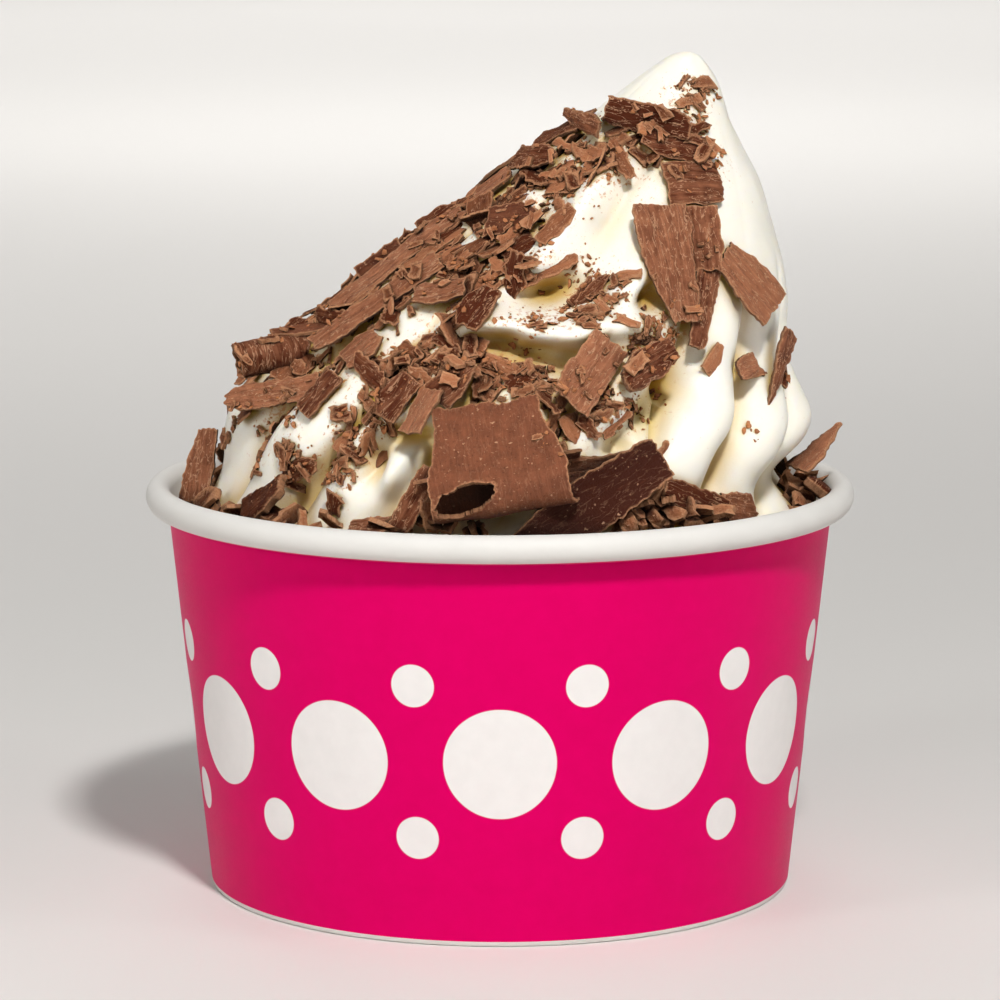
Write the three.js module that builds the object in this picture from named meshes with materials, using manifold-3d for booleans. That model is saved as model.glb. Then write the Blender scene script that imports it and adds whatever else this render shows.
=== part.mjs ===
// An ice cream cup: a paper cup heaped with a leaning soft-serve swirl under chocolate shavings.
// Millimetres, +Z up, origin at the centre of the cup's foot. The shown front faces -Y.
import * as THREE from "three";
import { mergeVertices } from "three/addons/utils/BufferGeometryUtils.js";
import Module from "manifold-3d";

const wasm = await Module();
wasm.setup();

// Paper cup
const RIM_DIAMETER = 95;
const FOOT_DIAMETER = 78.3;
const CUP_HEIGHT = 54.7;
const RIM_ROLL_WIDTH = 3.3;
const RIM_ROLL_HEIGHT = 3.8;
const BOARD = 0.5; // thickness of the paper board
const BASE_RECESS = 6; // the base disc sits this far above the foot
const HEM_HEIGHT = 5; // the wall is folded in and up round the base's skirt
const CLEARANCE = 0.25; // between pieces that touch
const CUP_SIDES = 48;
const RIM_STEPS = 10;

// Soft-serve swirl
const FLUTES = 16;
const COLUMNS_PER_FLUTE = 4;
const FLUTE_UNEVEN = 0.35; // how much the flutes differ in depth
const FILL_LINE = 47; // where the swirl leaves the cup's wall
// Rings of the swirl above the fill line: height, how far the ring's centre leans to the right, radius over
// the ridges, how far the flutes have turned (degrees) and the depth of the grooves between them.
const RINGS = [
  { z: 50.5, lean: 0, radius: 40.6, turn: -4, groove: 2.5 },
  { z: 54, lean: 0.4, radius: 39, turn: -1, groove: 4.2 },
  { z: 57.5, lean: 0.9, radius: 38.6, turn: 1.5, groove: 5 },
  { z: 61, lean: 1.6, radius: 39, turn: 4, groove: 5.2 },
  { z: 64.5, lean: 2.2, radius: 38.6, turn: 7, groove: 5.2 },
  { z: 68, lean: 2.8, radius: 37, turn: 10, groove: 5 },
  { z: 71.5, lean: 3.4, radius: 34.8, turn: 12, groove: 4.6 },
  { z: 75, lean: 4.8, radius: 32.8, turn: 13, groove: 4.4 },
  { z: 78.5, lean: 6.8, radius: 30.6, turn: 13, groove: 4.2 },
  { z: 82, lean: 9, radius: 28, turn: 12, groove: 4 },
  { z: 85.5, lean: 11.2, radius: 25.4, turn: 11, groove: 3.6 },
  { z: 89, lean: 13.4, radius: 22.4, turn: 11, groove: 3.2 },
  { z: 92.5, lean: 15.4, radius: 19.6, turn: 11, groove: 2.7 },
  { z: 96, lean: 17.3, radius: 16.6, turn: 11, groove: 2.2 },
  { z: 99.5, lean: 19.1, radius: 13.2, turn: 11, groove: 1.4 },
  { z: 103, lean: 20.8, radius: 9.6, turn: 12, groove: 0.8 },
  { z: 106, lean: 22.4, radius: 7.1, turn: 13, groove: 0.4 },
  { z: 108.5, lean: 23.5, radius: 5.1, turn: 14, groove: 0.15 },
  { z: 110.4, lean: 24.2, radius: 3.2, turn: 15, groove: 0.05 },
  { z: 111.5, lean: 24.7, radius: 1.4, turn: 16, groove: 0 },
];
const TIP_HEIGHT = 111.8;
// Sides where the flutes fade out: degrees round and their spread, the height where the fading starts, over
// how many millimetres it grows and the share of the groove's depth it takes away.
const SMOOTH_SIDES = [
  { at: 68, across: 60, from: 74, over: 12, share: 0.95 }, // right side
  { at: -9, across: 26, from: 72, over: 5, share: 0.9 }, // front, above the middle
];
// Folds pressed into the swirl: where they are (degrees round from the front towards the right, and height),
// how far they stand out (or in, if negative), and how far they spread (degrees, millimetres).
const FOLDS = [
  { at: -13, z: 79.3, out: 2.8, across: 8, up: 1.6 }, // lip in front, left
  { at: 3, z: 78.2, out: 3.4, across: 9, up: 1.7 }, // its middle
  { at: 18, z: 79.4, out: 2.6, across: 7, up: 1.7 }, // its right end
  { at: -21, z: 80.6, out: 2.2, across: 5, up: 1.5 }, // its left end, rising
  { at: -8, z: 82.5, out: -6, across: 10, up: 2.2 }, // pocket behind the lip
  { at: 22, z: 82, out: -4, across: 4, up: 2 }, // hollow at the right end of the lip
  { at: -13, z: 77, out: -4.5, across: 6, up: 1.5 }, // hollow under the lip, left
  { at: -2, z: 75.4, out: -5.5, across: 8, up: 1.8 }, // its middle
  { at: 9, z: 74.3, out: -4, across: 6, up: 1.8 }, // its right end
  { at: -23, z: 65.6, out: -6, across: 5, up: 1.7 }, // crevice in front, left
  { at: -28.5, z: 61.5, out: -5, across: 3.5, up: 3.2 }, // left side of the crevice
  { at: -16, z: 61.5, out: -4, across: 3.5, up: 4 }, // right side of the crevice
  { at: -23, z: 60, out: 2.5, across: 4.5, up: 2.8 }, // bulge under the crevice
  { at: 20.5, z: 64, out: -4.5, across: 4.5, up: 2.8 }, // valley in front, right
  { at: 27, z: 67.6, out: -4.5, across: 4.5, up: 2.6 }, // middle of that valley
  { at: 34, z: 70.6, out: -4, across: 5.5, up: 2.4 }, // its upper end
  { at: 47, z: 60.5, out: -1.6, across: 5, up: 4 }, // soft valley to the right of it
  { at: 57, z: 66.5, out: -0.8, across: 6, up: 4 }, // upper end of the soft valley
  { at: 85, z: 63.5, out: 0.9, across: 22, up: 4 }, // bulge at the right
  { at: 85, z: 56, out: -2.8, across: 25, up: 3.2 }, // hollow under it
  { at: 88, z: 82, out: 1.2, across: 30, up: 8 }, // fuller right side above it
  { at: -78, z: 81, out: -2, across: 32, up: 11 }, // flatter left slope under the shavings
  { at: 0, z: 91, out: -3, across: 8, up: 7 }, // sunken face above the pocket
  { at: -16, z: 92, out: 2.4, across: 6, up: 9 }, // ridge to the left of it
  { at: 14, z: 84, out: 2.4, across: 5, up: 3 }, // bump at the right of the pocket
  { at: -4, z: 58.5, out: -4.5, across: 11, up: 4.5 }, // hollow behind the front plate
];

// Chocolate shavings
const SHAVING_THICKNESS = 0.8;
const SHAVING_STEPS = 5; // cross-sections along a shaving
const SPINE_PIECES = 40; // short straight pieces that a curl is added up from
const EDGE_RAGGED = 0.14; // unevenness of the sides and ends, as shares of the width
const END_RAGGED = 0.09;
const LIFT = 0.3; // how far a shaving lies off the ridges
const LEAF_START = 0.1; // a leaf's outline follows this stretch of a half wave, as shares of it
const LEAF_REACH = 0.68;
// Large shavings, each lying on the swirl at degrees round and a height. Its length points along roll
// (degrees up from level); lean lifts its upper side, dip lifts its far end, curl bends it along its length,
// flat is the share of the length before a scroll begins, taper narrows the far end (or, negative, the near
// end), leaf rounds both ends and bow cups it across.
const SHAVINGS = [
  { at: -5, z: 65, length: 28, width: 21, roll: -78, dip: 20, lift: 2.4, flat: 0.4, curl: -310, taper: -0.3 },
  { at: 13.7, z: 58.2, length: 22.5, width: 7.4, roll: 30, dip: -4, lift: 3, bow: 0.8, leaf: 0.6 },
  { at: 52, z: 83, length: 10.2, width: 8.2, roll: -60, dip: 14, lift: 1.3, taper: -0.25 },
  { at: 23.2, z: 86, length: 16.5, width: 8.6, roll: -91, taper: 0.35, lift: 0.8, curl: -12 },
  { at: 12, z: 73, length: 10.4, width: 5.8, roll: 52, lean: 12, lift: 1.4 },
  { at: 27.5, z: 95.4, length: 8, width: 6.4, roll: -4, curl: -20 },
  { at: -6, z: 102.4, length: 11.6, width: 3.8, roll: -14, lean: 50, lift: 1.6 },
  { at: 16, z: 100, length: 9.6, width: 4, roll: -18, lean: 10 },
  { at: -50, z: 101.6, length: 9.4, width: 3, roll: -14, lean: 50, lift: 1.7, taper: -0.5 },
  { at: -76, z: 101, length: 9.5, width: 5, roll: 40 },
  { at: -60, z: 97.6, length: 8.6, width: 4, roll: 8, lean: 14, lift: 0.8 },
  { at: -70, z: 94.2, length: 5.8, width: 4.4, roll: 80 },
  { at: -36, z: 90.6, length: 7.2, width: 4.8, roll: 10, lean: 12, lift: 0.65 },
  { at: -71, z: 85, length: 21.5, width: 3.8, roll: 86, lean: 16, lift: -0.3 },
  { at: -53, z: 80, length: 20, width: 3.6, roll: 64, lean: 16, lift: 0.2 },
  { at: -68, z: 76.6, length: 13, width: 4, roll: -102, dip: 34, lift: -0.6 },
  { at: -84, z: 84.2, length: 7, width: 5, roll: 84, lean: 62, lift: -1.4 },
  { at: -90, z: 89.6, length: 6.4, width: 4, roll: 84, lean: 40, lift: -0.6 },
  { at: -66, z: 70.8, length: 12.5, width: 10, roll: 176, lean: 44, lift: 0.1, flat: 0.05, curl: 330 },
  { at: -60, z: 68.2, length: 14, width: 3.8, roll: 24, dip: -20, lean: 14, lift: 0.6 },
  { at: -80, z: 56.8, length: 10, width: 4.6, roll: 100, lean: 55, lift: 2.2, taper: 0.3 },
  { at: -86, z: 53.6, length: 6, width: 4.4, roll: 66, lean: 24, lift: 1.25 },
  { at: -48, z: 55.4, length: 8.6, width: 6, roll: 38, lean: -24, lift: 2.1, thick: 1.8, taper: 0.4 },
  { at: -46, z: 69.4, length: 6.4, width: 3.8, roll: 66, lift: 0.1 },
  { at: -43, z: 75, length: 5.6, width: 5, roll: 60, lift: -0.1 },
  { at: -26.5, z: 69.8, length: 6.4, width: 4.6, roll: 64, lift: 0.6 },
  { at: -19.5, z: 68.2, length: 6.6, width: 4, roll: 72, lean: -20, lift: 1.1 },
  { at: -15, z: 71.6, length: 6.6, width: 5, roll: 48, lift: 1.3, taper: 0.4, dip: 8 },
  { at: -20, z: 79.8, length: 6.6, width: 5.6, roll: 68, lift: 0.9, taper: 0.3 },
  { at: -36, z: 82, length: 7.4, width: 4, roll: 22, lift: 0.35 },
  { at: 24.5, z: 73.6, length: 8.6, width: 4.4, roll: 24, lift: 1.2, thick: 1.8 },
  { at: 34, z: 88.5, length: 9, width: 4.4, roll: -100, lean: 24, lift: 0.9 },
  { at: 37, z: 80.5, length: 12, width: 4.2, roll: -116, lift: 0.4, taper: 0.4 },
  { at: 66, z: 71, length: 11, width: 3.4, roll: -126, dip: -22, lift: 0.9, taper: 0.7 },
  { at: 55, z: 72.4, length: 4.6, width: 3, roll: 10, lift: -0.1 },
  { at: 84, z: 60.2, length: 9.4, width: 4.4, roll: 90, dip: 46, lean: 58, lift: 2.2, taper: 0.8 },
  { at: 82, z: 53, length: 6, width: 4.6, roll: -6, lean: -34, lift: 2.5, thick: 2 },
  { at: 37, z: 56.6, length: 11.5, width: 4.2, roll: -24, lean: -10, lift: 1 },
  { at: 49, z: 54.4, length: 6, width: 4.6, roll: -8, lean: -18, lift: 1.15 },
  { at: -16.5, z: 57.8, length: 9.6, width: 3, roll: 62, dip: -12, lift: 2.6 },
  { at: -23, z: 53.4, length: 7, width: 4, roll: 8, lean: -36, lift: 2.3 },
  { at: 14.5, z: 62.2, length: 6.8, width: 3, roll: 5, lean: 24, lift: 0.7 },
  { at: -104, z: 95, length: 8, width: 5, roll: 52, lift: 0.1 },
  { at: -122, z: 80, length: 12, width: 6, roll: 62, curl: 30, lift: -0.3 },
  { at: -138, z: 67, length: 14, width: 7, roll: 20, curl: -24 },
  { at: -152, z: 92, length: 9, width: 5, roll: -30, lift: 0.2 },
  { at: -166, z: 75, length: 10, width: 7, roll: 74, lift: 0.55, lean: 12 },
  { at: 172, z: 61, length: 12, width: 5, roll: -14, lift: 0.15, dip: 10 },
  { at: 150, z: 84, length: 8, width: 6, roll: 40, lift: 0.1 },
  { at: -112, z: 56, length: 10, width: 6, roll: 34, lift: 0.4, lean: -16 },
  { at: 128, z: 67, length: 9, width: 5, roll: -52, lift: 0.15 },
  { at: 108, z: 55, length: 8, width: 5, roll: 18, lift: 0.3, lean: -20 },
];

// Small flakes stuck to the swirl: some in their places, the rest strewn by rule.
const FLAKE_THICKNESS = 0.7;
const FLAKE_PROUD = 0.2; // how far a flake's middle stands proud of the swirl
const FLAKES = [
  { at: -5, z: 73.2, length: 8, width: 2.8, roll: -24 },
  { at: -9.7, z: 73.4, length: 4.4, width: 2.8, roll: 6 },
  { at: -2, z: 72.4, length: 4.4, width: 2.8, roll: 28 },
  { at: -27, z: 74.4, length: 7.2, width: 2.8, roll: -23 },
  { at: -20, z: 77, length: 7.2, width: 2.6, roll: -21 },
  { at: -41.5, z: 87.2, length: 5.4, width: 4, roll: 58 },
  { at: -25.5, z: 87.8, length: 4.8, width: 3.4, roll: 46 },
  { at: -39.5, z: 96.7, length: 5.2, width: 3.4, roll: 40 },
  { at: -18.5, z: 91, length: 6.8, width: 2.4, roll: 60 },
  { at: -12, z: 98.8, length: 8, width: 1.8, roll: -64 },
  { at: -26, z: 97.6, length: 7, width: 1.8, roll: 84 },
  { at: -11.5, z: 85.2, length: 8.4, width: 2, roll: 35 },
  { at: 3, z: 82.4, length: 7.4, width: 2, roll: 50 },
  { at: -61, z: 63.5, length: 4.8, width: 2.2, roll: 80 },
  { at: -64, z: 60.6, length: 5, width: 2, roll: 70 },
  { at: -46, z: 60, length: 6.4, width: 2.8, roll: 22 },
  { at: -36.5, z: 63.8, length: 4.2, width: 2.6, roll: 50 },
  { at: -29.5, z: 61.8, length: 5.6, width: 1.8, roll: 50 },
  { at: 11, z: 66.4, length: 4.4, width: 3, roll: -66 },
  { at: 19.5, z: 67, length: 5, width: 1.8, roll: 38 },
  { at: 30, z: 62.4, length: 4.4, width: 1.6, roll: 46 },
];
const STREWN_TRIES = 165;
const STREWN_HEIGHTS = [56, 104];
const STREWN_LENGTHS = [3, 5.4];
const STREWN_WIDTHS = [1.6, 3.2];
const STREWN_LEAN = 18; // degrees at most
const STREWN_DIP = 14;
// How thickly the flakes lie from one direction round to another, below and above a height.
const STREWN_SIDES = [
  { from: -118, to: -8, below: 1, above: 1 }, // left slope
  { from: -8, to: 42, below: 0.15, above: 0.4 }, // front and right
  { from: 42, to: 110, below: 0.06, above: 0.06 }, // smooth right side
];
const STREWN_BACK = 0.28;
const STREWN_ABOVE = 80;
const BARE_TURN = [-24, 12]; // bare stretch in front, in degrees round and in height
const BARE_HEIGHT = [74, 98];
const GOLDEN_TURN = 137.508; // degrees
const GOLDEN_SHARE = 0.618;

const radians = THREE.MathUtils.degToRad;
const lerp = THREE.MathUtils.lerp;
const clamp = THREE.MathUtils.clamp;

// A repeatable uneven number from -1 to 1 for a counted thing.
function uneven(count, salt) {
  const wave = Math.sin(count * 12.9898 + salt * 78.233) * 43758.5453;
  return 2 * (wave - Math.floor(wave)) - 1;
}

// A closed geometry as a solid that can be joined and cut.
function solidOf(geometry) {
  const bare = geometry.clone();
  bare.deleteAttribute("normal");
  bare.deleteAttribute("uv");
  const merged = mergeVertices(bare, 1e-4);
  const corners = merged.index.array;
  const triVerts = [];
  for (let i = 0; i < corners.length; i += 3) {
    const [a, b, c] = [corners[i], corners[i + 1], corners[i + 2]];
    if (a !== b && b !== c && c !== a) triVerts.push(a, b, c);
  }
  const mesh = new wasm.Mesh({
    numProp: 3,
    vertProperties: merged.attributes.position.array,
    triVerts: new Uint32Array(triVerts),
  });
  return new wasm.Manifold(mesh);
}

// A solid back as a named, flat-shaded mesh.
function meshOf(name, solid, material) {
  const made = solid.getMesh();
  const geometry = new THREE.BufferGeometry();
  geometry.setAttribute("position", new THREE.BufferAttribute(new Float32Array(made.vertProperties), 3));
  geometry.setIndex(new THREE.BufferAttribute(made.triVerts, 1));
  geometry.computeVertexNormals();
  const mesh = new THREE.Mesh(geometry, material);
  mesh.name = name;
  return mesh;
}

// A closed geometry through rings of points, each ring in order round +Z, from the lowest to the highest.
function loft(rings) {
  const around = rings[0].length;
  const points = rings.flat();
  const index = [];
  for (let k = 0; k + 1 < rings.length; k++) {
    for (let j = 0; j < around; j++) {
      const next = (j + 1) % around;
      const [a, b] = [k * around + j, k * around + next];
      index.push(a, b, b + around, a, b + around, a + around);
    }
  }
  for (const [ring, turned] of [
    [0, true],
    [rings.length - 1, false],
  ]) {
    const centre = points.length;
    const ringPoints = rings[ring];
    points.push(ringPoints.reduce((sum, p) => sum.add(p), new THREE.Vector3()).divideScalar(around));
    for (let j = 0; j < around; j++) {
      const [a, b] = [ring * around + j, ring * around + ((j + 1) % around)];
      index.push(centre, ...(turned ? [b, a] : [a, b]));
    }
  }
  return new THREE.BufferGeometry().setFromPoints(points).setIndex(index);
}

// Paper cup

const rimCentreR = (RIM_DIAMETER - RIM_ROLL_WIDTH) / 2;
const rimCentreZ = CUP_HEIGHT - RIM_ROLL_HEIGHT / 2;
const wallTopR = RIM_DIAMETER / 2 - RIM_ROLL_WIDTH + BOARD;
const wallOuter = (z) => lerp(FOOT_DIAMETER / 2, wallTopR, z / rimCentreZ);
const wallInner = (z) => wallOuter(z) - BOARD;
const skirtOuter = (z) => wallInner(z) - CLEARANCE;
const skirtInner = (z) => skirtOuter(z) - BOARD;
const hemOuter = (z) => skirtInner(z) - CLEARANCE;
const hemInner = (z) => hemOuter(z) - BOARD;

// A profile of [radius, height] points turned about +Z.
function turned(profile) {
  const points = profile.map(([r, z]) => new THREE.Vector2(r, z));
  return new THREE.LatheGeometry(points, CUP_SIDES).rotateX(Math.PI / 2);
}

// The wall with its rolled rim and folded hem, grown by grow on its sides that face the filling.
function cupWall(grow = 0) {
  const rollStart = -Math.acos((wallTopR - rimCentreR) / (RIM_ROLL_WIDTH / 2));
  const rim = [];
  for (let i = 0; i <= RIM_STEPS; i++) {
    const t = lerp(rollStart, Math.PI, i / RIM_STEPS);
    const r = rimCentreR + (RIM_ROLL_WIDTH / 2 + grow) * Math.cos(t);
    rim.push([r, rimCentreZ + (RIM_ROLL_HEIGHT / 2 + grow) * Math.sin(t)]);
  }
  const hem = [
    [wallInner(BOARD) - grow, BOARD],
    [hemOuter(BOARD), BOARD],
    [hemOuter(HEM_HEIGHT), HEM_HEIGHT],
    [hemInner(HEM_HEIGHT), HEM_HEIGHT],
    [hemInner(0), 0],
  ];
  const foot = [FOOT_DIAMETER / 2, 0];
  return solidOf(turned([foot, ...rim, ...hem, foot]));
}

function cupBase() {
  const low = BOARD + CLEARANCE;
  const top = BASE_RECESS + BOARD;
  const profile = [
    [0, BASE_RECESS],
    [skirtInner(BASE_RECESS), BASE_RECESS],
    [skirtInner(low), low],
    [skirtOuter(low), low],
    [skirtOuter(top), top],
    [0, top],
  ];
  return solidOf(turned(profile));
}

// Soft-serve swirl

// The ring of the swirl at a height between two named rings.
function ringAt(z) {
  const k = clamp(RINGS.filter((ring) => ring.z <= z).length - 1, 0, RINGS.length - 2);
  const [low, high] = [RINGS[k], RINGS[k + 1]];
  const t = clamp((z - low.z) / (high.z - low.z), 0, 1);
  const at = { z };
  for (const key of ["lean", "radius", "turn", "groove"]) at[key] = lerp(low[key], high[key], t);
  return at;
}

// Degrees round from one direction to another, between -180 and 180.
function roundFrom(degrees, start) {
  return ((((degrees - start + 180) % 360) + 360) % 360) - 180;
}

// Distance of the swirl's surface from its leaning axis, at degrees round from the front towards the right.
function swirlRadius(degrees, z) {
  const ring = ringAt(z);
  const place = (((degrees - ring.turn) * FLUTES) / 360 + 10 * FLUTES) % FLUTES;
  const flute = Math.floor(place);
  const across = 2 * (place - flute) - 1;
  let groove = ring.groove * (1 + FLUTE_UNEVEN * uneven(flute, 1));
  for (const side of SMOOTH_SIDES) {
    const fade = side.share * clamp((z - side.from) / side.over, 0, 1);
    groove *= 1 - fade * Math.exp(-((roundFrom(degrees, side.at) / side.across) ** 4));
  }
  let radius = ring.radius - groove * (1 - Math.sqrt(1 - across * across));
  for (const fold of FOLDS) {
    const round = roundFrom(degrees, fold.at) / fold.across;
    radius += fold.out * Math.exp(-(round ** 2) - ((z - fold.z) / fold.up) ** 2);
  }
  return radius;
}

function swirlPoint(degrees, z, swell = 0) {
  const radius = swirlRadius(degrees, z) + swell;
  const t = radians(degrees);
  return new THREE.Vector3(ringAt(z).lean + radius * Math.sin(t), -radius * Math.cos(t), z);
}

// The bare swirl, filling the cup below and grown all round by swell above the fill line.
function swirl(swell = 0) {
  const columns = FLUTES * COLUMNS_PER_FLUTE;
  const inCup = [BASE_RECESS + BOARD + CLEARANCE, FILL_LINE].map((z) =>
    Array.from({ length: columns }, (_, j) => {
      const t = radians((360 * j) / columns);
      const r = wallInner(z) - CLEARANCE;
      return new THREE.Vector3(r * Math.sin(t), -r * Math.cos(t), z);
    }),
  );
  const above = RINGS.map((ring) =>
    Array.from({ length: columns }, (_, j) => swirlPoint(ring.turn + (360 * j) / columns, ring.z, swell)),
  );
  const geometry = loft([...inCup, ...above]);
  const tip = geometry.attributes.position.count - 1;
  geometry.attributes.position.setZ(tip, TIP_HEIGHT + swell);
  return solidOf(geometry);
}

// Chocolate shavings

// A point over the ridges of the swirl, and the directions round, up the slope and out of it there.
function crownPoint(degrees, z) {
  const ring = ringAt(z);
  const t = radians(degrees);
  return new THREE.Vector3(ring.lean + ring.radius * Math.sin(t), -ring.radius * Math.cos(t), z);
}

function slopeFrame(degrees, z) {
  const round = crownPoint(degrees + 0.5, z).sub(crownPoint(degrees - 0.5, z)).normalize();
  const rise = crownPoint(degrees, z + 1.5).sub(crownPoint(degrees, z - 1.5));
  const out = round.clone().cross(rise).normalize();
  return { round, up: out.clone().cross(round), out };
}

// A shaving's middle line, share of the way along it: distance along, distance out and slope.
function spine(row, share) {
  const curl = radians(row.curl ?? 0);
  const scrolled = row.flat !== undefined;
  const slopeAt = (s) => curl * (scrolled ? Math.max(0, s - row.flat) / (1 - row.flat) : s - 0.5);
  const start = scrolled ? row.flat / 2 : 0.5;
  const step = (share - start) / SPINE_PIECES;
  const place = { along: 0, out: 0, slope: slopeAt(share) };
  for (let i = 0; i < SPINE_PIECES; i++) {
    const slope = slopeAt(start + (i + 0.5) * step);
    place.along += Math.cos(slope) * step * row.length;
    place.out += Math.sin(slope) * step * row.length;
  }
  return place;
}

// The centre of a shaving and the directions of its length, width and face.
function shavingFrame(row, thickness) {
  const { round, up, out } = slopeFrame(row.at, row.z);
  const roll = radians(row.roll);
  const length = round.clone().multiplyScalar(Math.cos(roll)).addScaledVector(up, Math.sin(roll));
  const width = out.clone().cross(length).applyAxisAngle(length, radians(row.lean ?? 0));
  length.applyAxisAngle(width, -radians(row.dip ?? 0));
  const face = length.clone().cross(width);
  const lift = row.lift ?? LIFT;
  const centre = row.sunk
    ? swirlPoint(row.at, row.z).addScaledVector(out, lift)
    : crownPoint(row.at, row.z).addScaledVector(out, lift + thickness / 2);
  return { centre, length, width, face };
}

// One curved, ragged plate of chocolate, grown on all sides by grow.
function shaving(row, count, grow = 0, steps = SHAVING_STEPS, columns = 2) {
  const thickness = row.thick ?? SHAVING_THICKNESS;
  const { centre, length, width, face } = shavingFrame(row, thickness);
  const taper = row.taper ?? 0;
  const sections = row.flat === undefined ? steps : 2 * steps + 4;
  const rings = [];
  for (let i = 0; i <= sections; i++) {
    const share = i / sections;
    const end = i === 0 ? -1 : i === sections ? 1 : 0;
    const rounding = 1 - (row.leaf ?? 0) * (1 - Math.sin(Math.PI * (LEAF_START + LEAF_REACH * share)));
    const narrow = rounding * (taper > 0 ? 1 - taper * share : 1 + taper * (1 - share));
    const { along, out, slope } = spine(row, share);
    const middle = centre.clone().addScaledVector(length, along).addScaledVector(face, out);
    const forward = length.clone().applyAxisAngle(width, -slope);
    const outward = face.clone().applyAxisAngle(width, -slope);
    const ring = [];
    for (const side of [-1, 1]) {
      for (let j = 0; j <= columns; j++) {
        const t = side * (1 - (2 * j) / columns);
        const ragged = 1 + EDGE_RAGGED * uneven(i * 7 + Math.round(t * 3), count);
        const across = t * ((row.width / 2) * narrow * ragged + grow);
        const beyond = end * (grow + END_RAGGED * row.width * uneven(j + 3 * end, count + 50));
        const above = (row.bow ?? 0) * t * t + side * (thickness / 2 + grow);
        const point = middle.clone().addScaledVector(width, across);
        ring.push(point.addScaledVector(forward, beyond).addScaledVector(outward, above));
      }
    }
    rings.push(ring);
  }
  return solidOf(loft(rings));
}

// The largest single body of a solid.
function largest(solid) {
  return solid.decompose().reduce((best, body) => (body.volume() > best.volume() ? body : best));
}

// Every large shaving, trimmed where it would run into the swirl, the cup or an earlier shaving.
function shavings(obstacles) {
  const made = [];
  const kept = [...obstacles];
  SHAVINGS.forEach((row, count) => {
    made.push(largest(kept.reduce((solid, other) => solid.subtract(other), shaving(row, count))));
    kept.push(shaving(row, count, CLEARANCE));
  });
  return made;
}

// How thickly small flakes lie at a place, with none in the bare stretch.
function strewnShare(degrees, z) {
  if (degrees > BARE_TURN[0] && degrees < BARE_TURN[1] && z > BARE_HEIGHT[0] && z < BARE_HEIGHT[1]) return 0;
  const side = STREWN_SIDES.find(({ from, to }) => degrees >= from && degrees < to);
  if (!side) return STREWN_BACK;
  return z > STREWN_ABOVE ? side.above : side.below;
}

function strewnFlakes() {
  const rows = [];
  for (let n = 1; n <= STREWN_TRIES; n++) {
    const at = ((n * GOLDEN_TURN) % 360) - 180;
    const z = lerp(...STREWN_HEIGHTS, (n * GOLDEN_SHARE) % 1);
    if ((uneven(n, 2) + 1) / 2 > strewnShare(at, z)) continue;
    const length = lerp(...STREWN_LENGTHS, (uneven(n, 3) + 1) / 2);
    const width = lerp(...STREWN_WIDTHS, (uneven(n, 4) + 1) / 2);
    const roll = 180 * uneven(n, 5);
    const lean = STREWN_LEAN * uneven(n, 6);
    const dip = STREWN_DIP * uneven(n, 7);
    rows.push({ at, z, length, width, roll, lean, dip });
  }
  return rows;
}

// The swirl with its small flakes, leaving out those that would run into a large shaving or the cup.
function toppedSwirl(obstacles) {
  let whole = swirl();
  [...FLAKES, ...strewnFlakes()].forEach((row, count) => {
    const placed = { ...row, sunk: true, lift: FLAKE_PROUD, thick: FLAKE_THICKNESS };
    const flake = shaving(placed, count + 100, 0, 2, 1);
    const grown = shaving(placed, count + 100, CLEARANCE, 2, 1);
    if (obstacles.some((other) => grown.intersect(other).volume() > 0)) return;
    whole = whole.add(flake);
  });
  return largest(whole);
}

// Materials and scene

const paper = new THREE.MeshStandardMaterial({ color: 0xd6005a, roughness: 0.45, metalness: 0 });
const board = new THREE.MeshStandardMaterial({ color: 0xf2efea, roughness: 0.6, metalness: 0 });
const cream = new THREE.MeshStandardMaterial({ color: 0xf8f3e2, roughness: 0.4, metalness: 0 });
const chocolate = new THREE.MeshStandardMaterial({ color: 0x8a5238, roughness: 0.6, metalness: 0 });

const cup = new THREE.Group();
const wall = cupWall();
const large = shavings([swirl(CLEARANCE), cupWall(CLEARANCE)]);
cup.add(meshOf("cup_wall", wall, paper));
cup.add(meshOf("cup_base", cupBase(), board));
cup.add(meshOf("ice_cream", toppedSwirl([wall, ...large]), cream));
large.forEach((solid, count) => {
  cup.add(meshOf(`shaving_${String(count + 1).padStart(2, "0")}`, solid, chocolate.clone()));
});

export default cup;
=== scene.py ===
import math

import bpy
import numpy as np
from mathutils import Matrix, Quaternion, Vector, noise
from mathutils.bvhtree import BVHTree


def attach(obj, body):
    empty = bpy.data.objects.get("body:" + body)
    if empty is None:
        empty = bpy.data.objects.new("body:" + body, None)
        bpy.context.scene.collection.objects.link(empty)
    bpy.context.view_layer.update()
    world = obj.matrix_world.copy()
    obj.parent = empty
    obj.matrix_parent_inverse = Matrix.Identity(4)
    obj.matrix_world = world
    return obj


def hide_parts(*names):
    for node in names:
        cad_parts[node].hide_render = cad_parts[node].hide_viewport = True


# An ice cream cup: a printed paper tub heaped with a leaning soft-serve swirl under chocolate shavings.
# Sizes are in millimetres and angles in degrees; "round" counts from the front towards the right.
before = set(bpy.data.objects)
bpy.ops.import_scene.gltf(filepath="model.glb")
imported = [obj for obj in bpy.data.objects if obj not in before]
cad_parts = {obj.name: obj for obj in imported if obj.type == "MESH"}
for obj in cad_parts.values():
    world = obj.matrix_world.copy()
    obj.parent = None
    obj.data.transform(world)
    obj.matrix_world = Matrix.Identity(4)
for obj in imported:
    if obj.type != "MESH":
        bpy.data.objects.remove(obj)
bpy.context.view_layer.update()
MM = 0.001

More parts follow.
